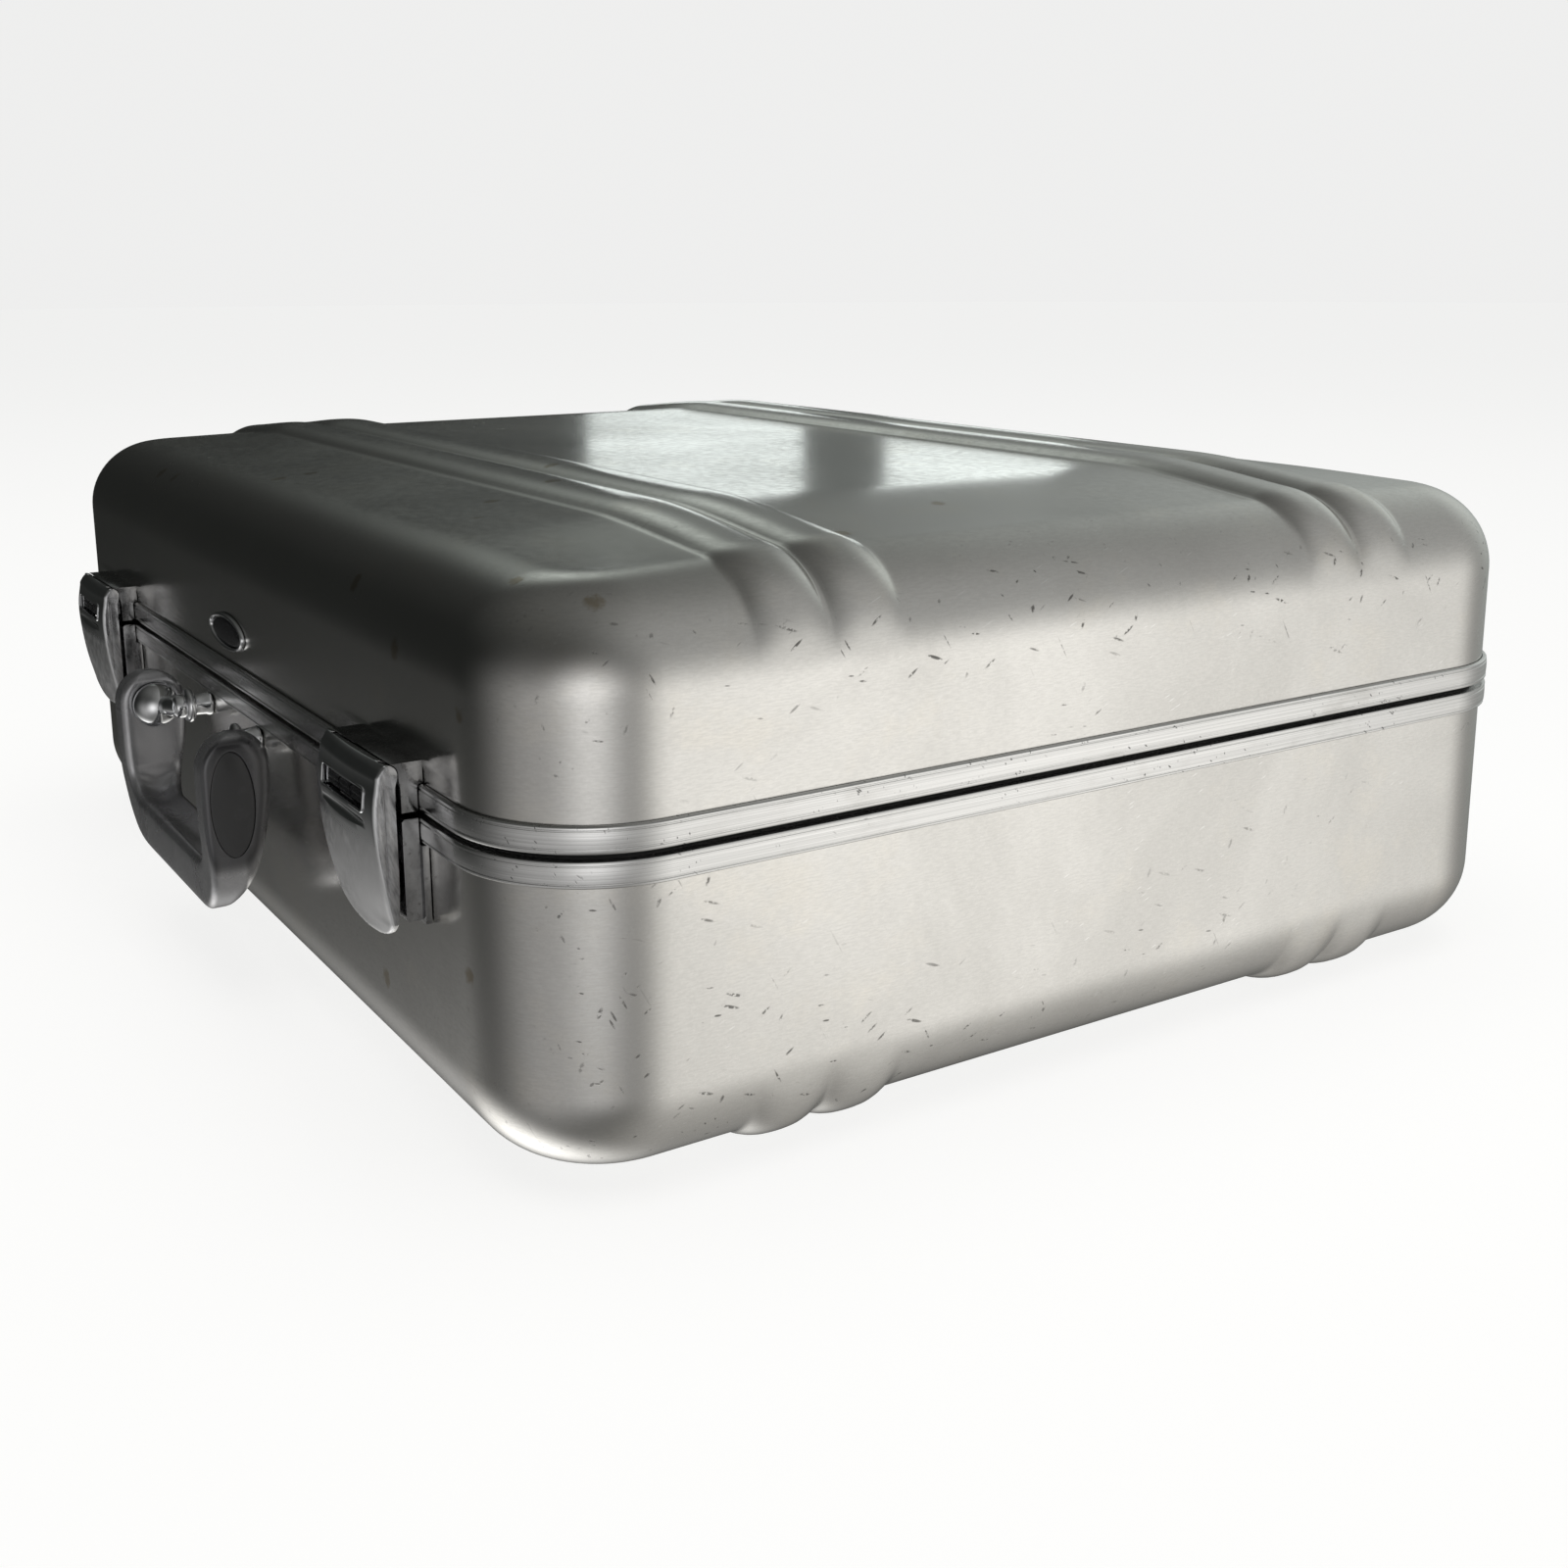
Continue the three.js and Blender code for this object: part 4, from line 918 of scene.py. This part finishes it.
# side outline of the bail: z, wall-side edge, outer edge
BAIL_SIDE = [(HANDLE_BOTTOM, 23.5, 27.5), (38.7, 21.4, 29.4), (41, 19.4, 31.2), (44.5, 18.2, 32.2),
             (48, 16.9, 32.6), (62, 12.1, 33.7), (78, 8.1, 35.2), (92, 5.9, 35.5), (104.5, 5.5, 35.5)]
BAIL_BEND = (34.0, 14.0)           # outer and inner radius of the bail's corners
WALL_SIDE_EDGE = 9.0               # edge radii of the bail
FRONT_EDGE = 2.6
INNER_EDGE = 3.4
END_EDGE = 5.0


def rounding(depth, radius):
    """How far a rounded edge has fallen back at a depth below the face."""
    if depth >= radius:
        return 0.0
    return radius - math.sqrt(max(0.0, radius**2 - (radius - depth) ** 2))


def bail_edges(z):
    if z > PIVOT_Z:
        half = math.sqrt(max(0.2, ARM_END**2 - (z - PIVOT_Z) ** 2))
        return PIVOT_U - half, PIVOT_U + half
    rear = smooth_value([(row[0], row[1]) for row in BAIL_SIDE], z)
    front = smooth_value([(row[0], row[2]) for row in BAIL_SIDE], z)
    return rear, front


def bail_path():
    """Pairs of outer and inner outline points of the bail, from the left arm to the right."""
    outer_r, inner_r = BAIL_BEND
    grip_top = HANDLE_BOTTOM + GRIP_HEIGHT
    ox, oz = -HANDLE_HALF + outer_r, HANDLE_BOTTOM + outer_r
    ix, iz = -HANDLE_HALF + ARM + inner_r, grip_top + inner_r
    top = [PIVOT_Z + ARM_END * math.sin(a) for a in np.linspace(math.radians(86), 0, 12)]
    pairs = []
    for z in top:
        pairs.append(((-HANDLE_HALF, z), (-HANDLE_HALF + ARM, z)))
    for t in np.linspace(0, 1, 10)[1:]:
        pairs.append(((-HANDLE_HALF, PIVOT_Z + (oz - PIVOT_Z) * t),
                      (-HANDLE_HALF + ARM, PIVOT_Z + (iz - PIVOT_Z) * t)))
    for a in np.radians(np.linspace(180, 270, 19))[1:]:
        pairs.append(((ox + outer_r * math.cos(a), oz + outer_r * math.sin(a)),
                      (ix + inner_r * math.cos(a), iz + inner_r * math.sin(a))))
    for t in np.linspace(0, 0.5, 8)[1:]:
        pairs.append(((ox - 2 * ox * t, HANDLE_BOTTOM), (ix - 2 * ix * t, grip_top)))
    mirrored = [((-o[0], o[1]), (-i[0], i[1])) for o, i in reversed(pairs[:-1])]
    return pairs + mirrored


def bail_ring(outer, inner):
    """Section of the bail between an outer and an inner outline point."""
    o, i = Vector(outer), Vector(inner)
    across = (i - o).length
    direction = (i - o) / across
    grip = smoothstep(abs(direction.y), 0.5, 1.0)      # 1 along the grip, 0 along the arms
    end = PIVOT_Z + ARM_END - o.y                       # how far below the arm's tip
    pinch = rounding(end, END_EDGE)
    wall_edge = WALL_SIDE_EDGE * (1 - 0.35 * grip)
    inner_edge = INNER_EDGE
    dish = 2.4 * grip

    def at(depth, share):
        """Point at a depth from the outer face; share runs from the wall side to the front."""
        place = o + direction * depth
        rear, front = bail_edges(place.y)
        room = min(1.0, (front - rear) / 16.0)
        from_inner = across - depth
        inner = rounding(from_inner, inner_edge) * room
        rear += max(rounding(depth, wall_edge) * room, inner)
        front -= max(rounding(depth, FRONT_EDGE) * room, inner)
        u = rear + (share + 1) / 2 * max(0.3, front - rear)
        place = o + direction * min(max(depth, pinch), across - pinch)
        if dish and from_inner < 1e-6:
            place -= direction * dish * (1 - share * share)
        return (place.x, FRONT_WALL - u, place.y)

    depths = [wall_edge * (1 - math.cos(a)) for a in np.radians(np.linspace(0, 90, 9))]
    depths += list(np.linspace(wall_edge, across - inner_edge, 5))[1:-1]
    depths += [across - inner_edge * (1 - math.cos(a)) for a in np.radians(np.linspace(90, 0, 6))]
    ring = [at(0.0, s) for s in np.linspace(-1, 1, 9)]
    ring += [at(d, 1.0) for d in depths[1:]]
    ring += [at(across, s) for s in np.linspace(1, -1, 9)[1:]]
    ring += [at(d, -1.0) for d in reversed(depths[1:-1])]
    return ring


def oval(centre_u, centre_z, half_u, half_z, steps=56):
    angles = 2 * math.pi * np.arange(steps) / steps
    return [(centre_u + half_u * math.cos(a), centre_z + half_z * math.sin(a)) for a in angles]


inset_low, inset_high = node_box("handle_inset_right")
INSET_U = FRONT_WALL - (inset_low.y + inset_high.y) / 2
INSET_Z = (inset_low.z + inset_high.z) / 2 + 2.2
INSET_HALF_U = (inset_high.y - inset_low.y) / 2
INSET_HALF_Z = (inset_high.z - inset_low.z) / 2 - 2.4
bail = loft("carry_bail", [bail_ring(o, i) for o, i in bail_path()], smooth_angle=50)
for sign in (-1, 1):
    socket = ball("cut", (sign * BALL_X, FRONT_WALL - PIVOT_U, PIVOT_Z), BALL_RADIUS + 0.5, 64)
    boolean(bail, socket, smooth_angle=50)
    face = sign * HANDLE_HALF
    shape = oval(INSET_U, INSET_Z, INSET_HALF_U, INSET_HALF_Z)
    low, high = sorted((face - sign * 1.6, face + sign * 2.0))
    boolean(bail, run_along_x("cut", shape, low, high), smooth_angle=50)
soften(bail, 0.4, 3, 40)
settle(bail, "handle", "handle_satin", HANDLE, "handle_grip")


def inset(side, sign):
    """Black oval on the arm's outer side, slightly crowned."""
    face = sign * HANDLE_HALF
    rings = []
    for grow, depth in ((-0.25, 1.5), (-0.2, 0.35), (-0.45, 0.1), (-0.9, 0.0)):
        shape = oval(INSET_U, INSET_Z, INSET_HALF_U + grow, INSET_HALF_Z + grow)
        rings.append([(face - sign * depth, FRONT_WALL - u, z) for u, z in shape])
    return loft(f"arm_inset_{side}", rings, smooth_angle=50)


def post(side, sign):
    """Turned post through the wall, its elbow and the ball that the arm swings on."""
    profile = [(0.02, -6.6), (2.6, -6.6), (2.6, CLEAR), (5.0, CLEAR), (5.6, 0.8), (5.6, 2.0),
               (5.0, 3.4), (4.8, 7.8), (5.4, 8.3)]
    profile += [(5.4 + 2.4 * math.cos(a), 10.4 + 2.1 * math.sin(a))
                for a in np.radians(np.linspace(-80, 80, 9))]
    profile += [(5.3, 12.7), (5.4, 15.0), (4.9, 16.6), (3.6, 17.6), (0.02, 17.9)]
    stem = turned(f"ball_post_{side}", profile, (sign * POST_X, FRONT_WALL, POST_Z), (0, -1, 0))
    centre = Vector((sign * BALL_X, FRONT_WALL - PIVOT_U, PIVOT_Z))
    elbow = Vector((sign * POST_X, FRONT_WALL - 13.2, POST_Z))
    along = centre - elbow
    length = along.length
    neck = [(5.3, 0), (5.0, length * 0.3), (4.6, length * 0.5), (4.9, length * 0.66), (5.2, length)]
    boolean(stem, turned("join", neck, elbow, along), "UNION")
    boolean(stem, ball("join", centre, BALL_RADIUS, 64), "UNION")
    low, high = sorted((sign * (BALL_X - 1), sign * (BALL_X + 12)))
    bore = circle(PIVOT_U, PIVOT_Z, 2.8, 36)
    boolean(stem, run_along_x("cut", bore, low, high), smooth_angle=30)
    return stem


for side, sign in (("left", -1), ("right", 1)):
    settle(inset(side, sign), "handle", "handle_black", INSET, f"handle_inset_{side}")
    settle(post(side, sign), "base", "chrome", CHROME, f"handle_post_{side}")


# ---------------- badge
def badge():
    low, high = node_box("badge_rim")
    half_x, half_z = (high.x - low.x) / 2, (high.z - low.z) / 2

    def ring(inward, u):
        outline = oval(0, (high.z + low.z) / 2, half_x - inward, half_z - inward, 72)
        return [(x, FRONT_WALL - u, z) for x, z in outline]

    rim = [(0.0, CLEAR), (0.05, 1.1), (0.35, 1.75), (0.85, 2.1), (1.35, 2.0), (1.8, 1.6), (2.05, 1.0),
           (2.1, CLEAR)]
    settle(loft("badge_bezel", [ring(i, u) for i, u in rim], looped=True, smooth_angle=60),
           "lid", "chrome", CHROME, "badge_rim")
    plate = [(2.4, CLEAR), (2.4, 0.9), (2.7, 1.15), (4.0, 1.32), (6.0, 1.45), (7.6, 1.5)]
    settle(loft("badge_enamel", [ring(i, u) for i, u in plate], smooth_angle=60),
           "lid", "badge_black", BADGE, "badge_plate")


badge()


# ---------------- hinges and feet
def hinge_leaf(name, up, centre, knuckles):
    _, axis_u, axis_z = joint_place("lid_hinge")
    axis_y = FRONT_WALL - axis_u
    face = REAR_WALL + FRAME_PROUD + CLEAR
    thick = 1.8
    near, far = sorted((axis_z + up * 3.3, axis_z + up * 10.2))
    leaf = rounded_box(name, (centre - 20, face, near), (centre + 20, face + thick, far), 0.35)
    for start, end in knuckles:
        profile = [(2.8, 0), (2.8, end - start)]
        tube = turned("join", profile, (centre + start, axis_y, axis_z), (1, 0, 0))
        boolean(leaf, tube, "UNION")
        low, high = sorted((axis_z + up * 0.9, axis_z + up * 4.3))
        outer = face + thick + 0.6
        root = rounded_box("join", (centre + start, face, low), (centre + end, outer, high), 0.05)
        boolean(leaf, root, "UNION")
    boolean(leaf, turned("cut", [(1.5, 0), (1.5, 60)], (centre - 30, axis_y, axis_z), (1, 0, 0)))
    for offset in (-13, 13):
        place = (centre + offset, face + thick - 0.2, axis_z + up * 7.2)
        head = [(0.02, 0), (1.75, 0), (1.75, 0.35), (1.2, 0.75), (0.02, 0.85)]
        boolean(leaf, turned("join", head, place, (0, 1, 0), 32), "UNION")
    return leaf


def foot(name, x, z):
    reach = node_box("lid_foot_right")[1].y - REAR_WALL
    profile = [(0.05, CLEAR), (10.6, CLEAR), (11, 0.7), (11, 2.0), (10.6, 2.5), (9.4, 3.1), (8.7, 4.2)]
    profile += [(7.9, reach - 2.0), (7.5, reach - 0.9), (6.8, reach - 0.2), (5.8, reach), (0.05, reach)]
    return turned(name, profile, (x, REAR_WALL, z), (0, 1, 0), 56)


for side, sign in (("left", -1), ("right", 1)):
    low, high = node_box(f"hinge_base_leaf_{side}")
    centre = (low.x + high.x) / 2
    settle(hinge_leaf(f"base_hinge_{side}", -1, centre, ((-20, -7.8), (7.8, 20))),
           "base", "steel", STEEL, f"hinge_base_leaf_{side}")
    settle(hinge_leaf(f"lid_hinge_{side}", 1, centre, ((-7.4, 7.4),)),
           "lid", "steel", STEEL, f"hinge_lid_leaf_{side}")
    for half in ("base", "lid"):
        low, high = node_box(f"{half}_foot_{side}")
        piece = foot(f"{half}_rubber_foot_{side}", (low.x + high.x) / 2, (low.z + high.z) / 2)
        settle(piece, half, "seal_rubber", RUBBER, f"{half}_foot_{side}")


# ---------------- linings
def lining(half, rim, panel_z):
    """Cloth glued into a half: it rounds the edges, with soft wrinkles in the corners."""
    up = 1 if panel_z > rim else -1
    low, high = node_box(f"{half}_lining")
    start = low.z if up > 0 else high.z
    inward = HALF_LENGTH - high.x
    radius = EDGE_RADIUS - inward
    thickness = 1.2
    panel = (high.z - CROWN if up > 0 else low.z) - up * thickness
    arc_z = panel - up * radius
    heights = spaced([(0, 4), (abs(arc_z - start), 1)])
    levels = [(-inward - thickness, start + up * h, 0.0) for h in heights]
    for k in range(1, 11):
        slope = math.pi / 2 * k / 10
        out = -inward - thickness + radius * (math.cos(slope) - 1)
        levels.append((out, arc_z + up * radius * math.sin(slope), slope))

    def lift(side, x, y, z, slope):
        corner = smoothstep(math.hypot(max(0, abs(x) - 230), max(0, abs(y) - 170)), 15, 60)
        angle = math.atan2(y, x)
        folds = math.sin(34 * angle + 0.05 * z) * corner
        quilt = math.sin(x / 19.0) * math.sin(y / 23.0 + 0.6 * math.sin(x / 71.0)) * math.sin(slope)
        return 0.45 * folds - 0.5 + 0.35 * quilt

    x_limit = HALF_LENGTH - CORNER_RADIUS
    y_limit = HALF_DEPTH - CORNER_RADIUS
    cloth = tray(f"{half}_lining_cloth", levels, levels[-1][0], panel, lift,
                 spaced([(-x_limit, 7), (x_limit, 7)]), spaced([(-y_limit, 7), (y_limit, 7)]))
    area = sum(face.area for face in cloth.data.polygons)
    step = cloth.modifiers.new("cloth", "SOLIDIFY")
    step.thickness = thickness * MM
    step.offset = 1
    settle(cloth, half, "lining_cloth", CLOTH, f"{half}_lining")
    reach = abs(panel - start) - inward
    flat = (2 * (HALF_LENGTH + reach) * MM, 2 * (HALF_DEPTH + reach) * MM)
    area = min(area, flat[0] * flat[1])


lining("lid", LID_RIM, PANEL_TOP)
lining("base", BASE_RIM, PANEL_BOTTOM)

# ---------------- carried-over CAD nodes
KEPT_NODES = {STEEL: ("latch_pin", "dial_spindle", "latch_claw", "hinge_pin", "handle_pin", "post_nut"),
              RUBBER: ("catch_bumper",),
              DIAL: ("dial_left", "dial_right")}
for material, stems in KEPT_NODES.items():
    for name, node in frame["nodes"].items():
        if name.startswith(stems):
            for slot in node.material_slots:
                slot.material = material
            if not node.material_slots:
                node.data.materials.append(material)


# ---------------- camera
CAMERA_PLACE = Vector((0.78386, -0.44280, 0.30474))
CAMERA_YAW, CAMERA_PITCH, CAMERA_ROLL = 57.40, 12.405, -0.2465
CAMERA_LENS = 40.98
CAMERA_SHIFT = -0.08125


def aim_camera():
    data = bpy.data.cameras.new("camera")
    data.sensor_width = 36.0
    data.lens = CAMERA_LENS
    data.shift_y = CAMERA_SHIFT
    data.clip_start, data.clip_end = 0.01, 100.0
    camera = bpy.data.objects.new("camera", data)
    bpy.context.scene.collection.objects.link(camera)
    yaw, pitch, roll = (math.radians(a) for a in (CAMERA_YAW, CAMERA_PITCH, CAMERA_ROLL))
    back = Vector((math.sin(yaw) * math.cos(pitch), -math.cos(yaw) * math.cos(pitch), math.sin(pitch)))
    level = (-back).cross(Vector((0, 0, 1))).normalized()
    upright = level.cross(-back)
    right = level * math.cos(roll) + upright * math.sin(roll)
    up = upright * math.cos(roll) - level * math.sin(roll)
    turn = Matrix((right, up, back)).transposed().to_4x4()
    camera.matrix_world = Matrix.Translation(CAMERA_PLACE) @ turn
    bpy.context.scene.camera = camera


aim_camera()


# ---------------- floor, backdrop and light
def stage_material(name, color, glow, matt):
    material = bpy.data.materials.new(name)
    material.use_nodes = True
    shader = material.node_tree.nodes["Principled BSDF"]
    shader.inputs["Base Color"].default_value = (*(c * matt for c in color), 1)
    shader.inputs["Roughness"].default_value = 0.9
    shader.inputs["Specular IOR Level"].default_value = 0.0
    shader.inputs["Emission Color"].default_value = (*color, 1)
    shader.inputs["Emission Strength"].default_value = glow
    return material


def area_light(name, place, target, size, brightness, color, reflected=True, diffuse=True):
    """A rectangular light; brightness is what its face shows, whatever its size."""
    data = bpy.data.lights.new(name, "AREA")
    data.shape = "RECTANGLE"
    data.size, data.size_y = size
    data.energy = math.pi * size[0] * size[1] * brightness
    data.color = color
    light = bpy.data.objects.new(name, data)
    bpy.context.scene.collection.objects.link(light)
    light.location = place
    light.rotation_euler = (Vector(target) - Vector(place)).to_track_quat("-Z", "Y").to_euler()
    light.visible_camera = False
    light.visible_glossy = reflected
    light.visible_diffuse = diffuse
    return light


def direction(azimuth, elevation):
    """Unit vector: azimuth turns from +X towards +Y, elevation is above the horizon."""
    a, e = math.radians(azimuth), math.radians(elevation)
    return Vector((math.cos(a) * math.cos(e), math.sin(a) * math.cos(e), math.sin(e)))


# what the metal sees: a dim room with broad soft glows, as (azimuth, elevation, tightness, color)
ROOM = (0.016, 0.017, 0.016)
GLOWS = (
    (36, -14, 10.0, (0.78, 0.765, 0.735)),
    (-28, -3, 12.0, (0.95, 0.94, 0.93)),
    (-70, -20, 5.0, (0.34, 0.335, 0.33)),
    (45, 25, 3.0, (0.27, 0.27, 0.265)),
    (60, 75, 1.5, (0.11, 0.11, 0.105)),
    (112, 14, 8.0, (0.48, 0.51, 0.49)),
    (160, 32, 60.0, (0.45, 0.49, 0.46)),
    (-158, -58, 12.0, (1.75, 1.73, 1.69)),
    (60, -50, 3.0, (0.42, 0.41, 0.39)),
)


def surroundings():
    bpy.context.scene.view_settings.view_transform = "Standard"
    world = bpy.data.worlds.new("room")
    bpy.context.scene.world = world
    world.use_nodes = True
    tree = world.node_tree
    look = add_node(tree, "ShaderNodeTexCoord", {}, "Generated")
    total = ROOM
    for azimuth, elevation, tightness, color in GLOWS:
        towards = {0: look, 1: direction(azimuth, elevation)}
        facing = add_node(tree, "ShaderNodeVectorMath", towards, "Value", operation="DOT_PRODUCT")
        facing = add_node(tree, "ShaderNodeMath", {0: facing, 1: 0.0}, "Value", operation="MAXIMUM")
        share = add_node(tree, "ShaderNodeMath", {0: facing, 1: tightness}, "Value", operation="POWER")
        glow = {0: color, "Scale": share}
        glow = add_node(tree, "ShaderNodeVectorMath", glow, "Vector", operation="SCALE")
        total = add_node(tree, "ShaderNodeVectorMath", {0: total, 1: glow}, "Vector", operation="ADD")
    background = tree.nodes["Background"]
    background.inputs["Strength"].default_value = 1.0
    tree.links.new(total, background.inputs["Color"])


def disc(name, radius, z):
    angles = np.linspace(0, 2 * math.pi, 97)[:-1]
    points = [(radius * math.cos(a), radius * math.sin(a), z) for a in angles]
    obj = make_object(name, points, [tuple(range(len(points)))])
    obj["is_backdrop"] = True
    return obj


# two windows far behind the case, seen only as reflections in its lid: azimuth and width
WINDOWS = (("window_left", 151.2, 0.414), ("window_right", 139.2, 0.35))
WINDOW_ELEVATION = 7.0
WINDOW_AWAY = 2.6
WINDOW_HEIGHT = 0.40
WINDOW_BRIGHTNESS = 1.0
WINDOW_TINT = (0.93, 1.0, 0.98)
FLOOR_RADIUS = 14000


def stage():
    floor = disc("floor", FLOOR_RADIUS, cad_low.z / MM - 0.2)
    floor.data.materials.append(stage_material("pale_floor", (0.9, 0.9, 0.895), 0.90, 0.35))
    floor.visible_glossy = False
    backdrop = ball("backdrop", (0, 0, 0), FLOOR_RADIUS - 100, 64)
    backdrop.data.materials.append(stage_material("pale_backdrop", (0.9, 0.9, 0.895), 0.955, 0.0))
    backdrop.visible_glossy = False
    backdrop.visible_diffuse = False
    backdrop.visible_shadow = False
    backdrop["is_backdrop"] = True
    surroundings()
    target = (0, 0, 0.1)
    area_light("overhead", (0.3, -0.2, 2.6), target, (3.0, 3.0), 1.3, (1, 0.99, 0.97), reflected=False)
    middle = Vector((0.05, 0.03, 0.21))
    for name, azimuth, width in WINDOWS:
        place = middle + direction(azimuth, WINDOW_ELEVATION) * WINDOW_AWAY
        size = (width, WINDOW_HEIGHT)
        area_light(name, place, middle, size, WINDOW_BRIGHTNESS, WINDOW_TINT, diffuse=False)


stage()

# ---------------- size
low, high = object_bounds()
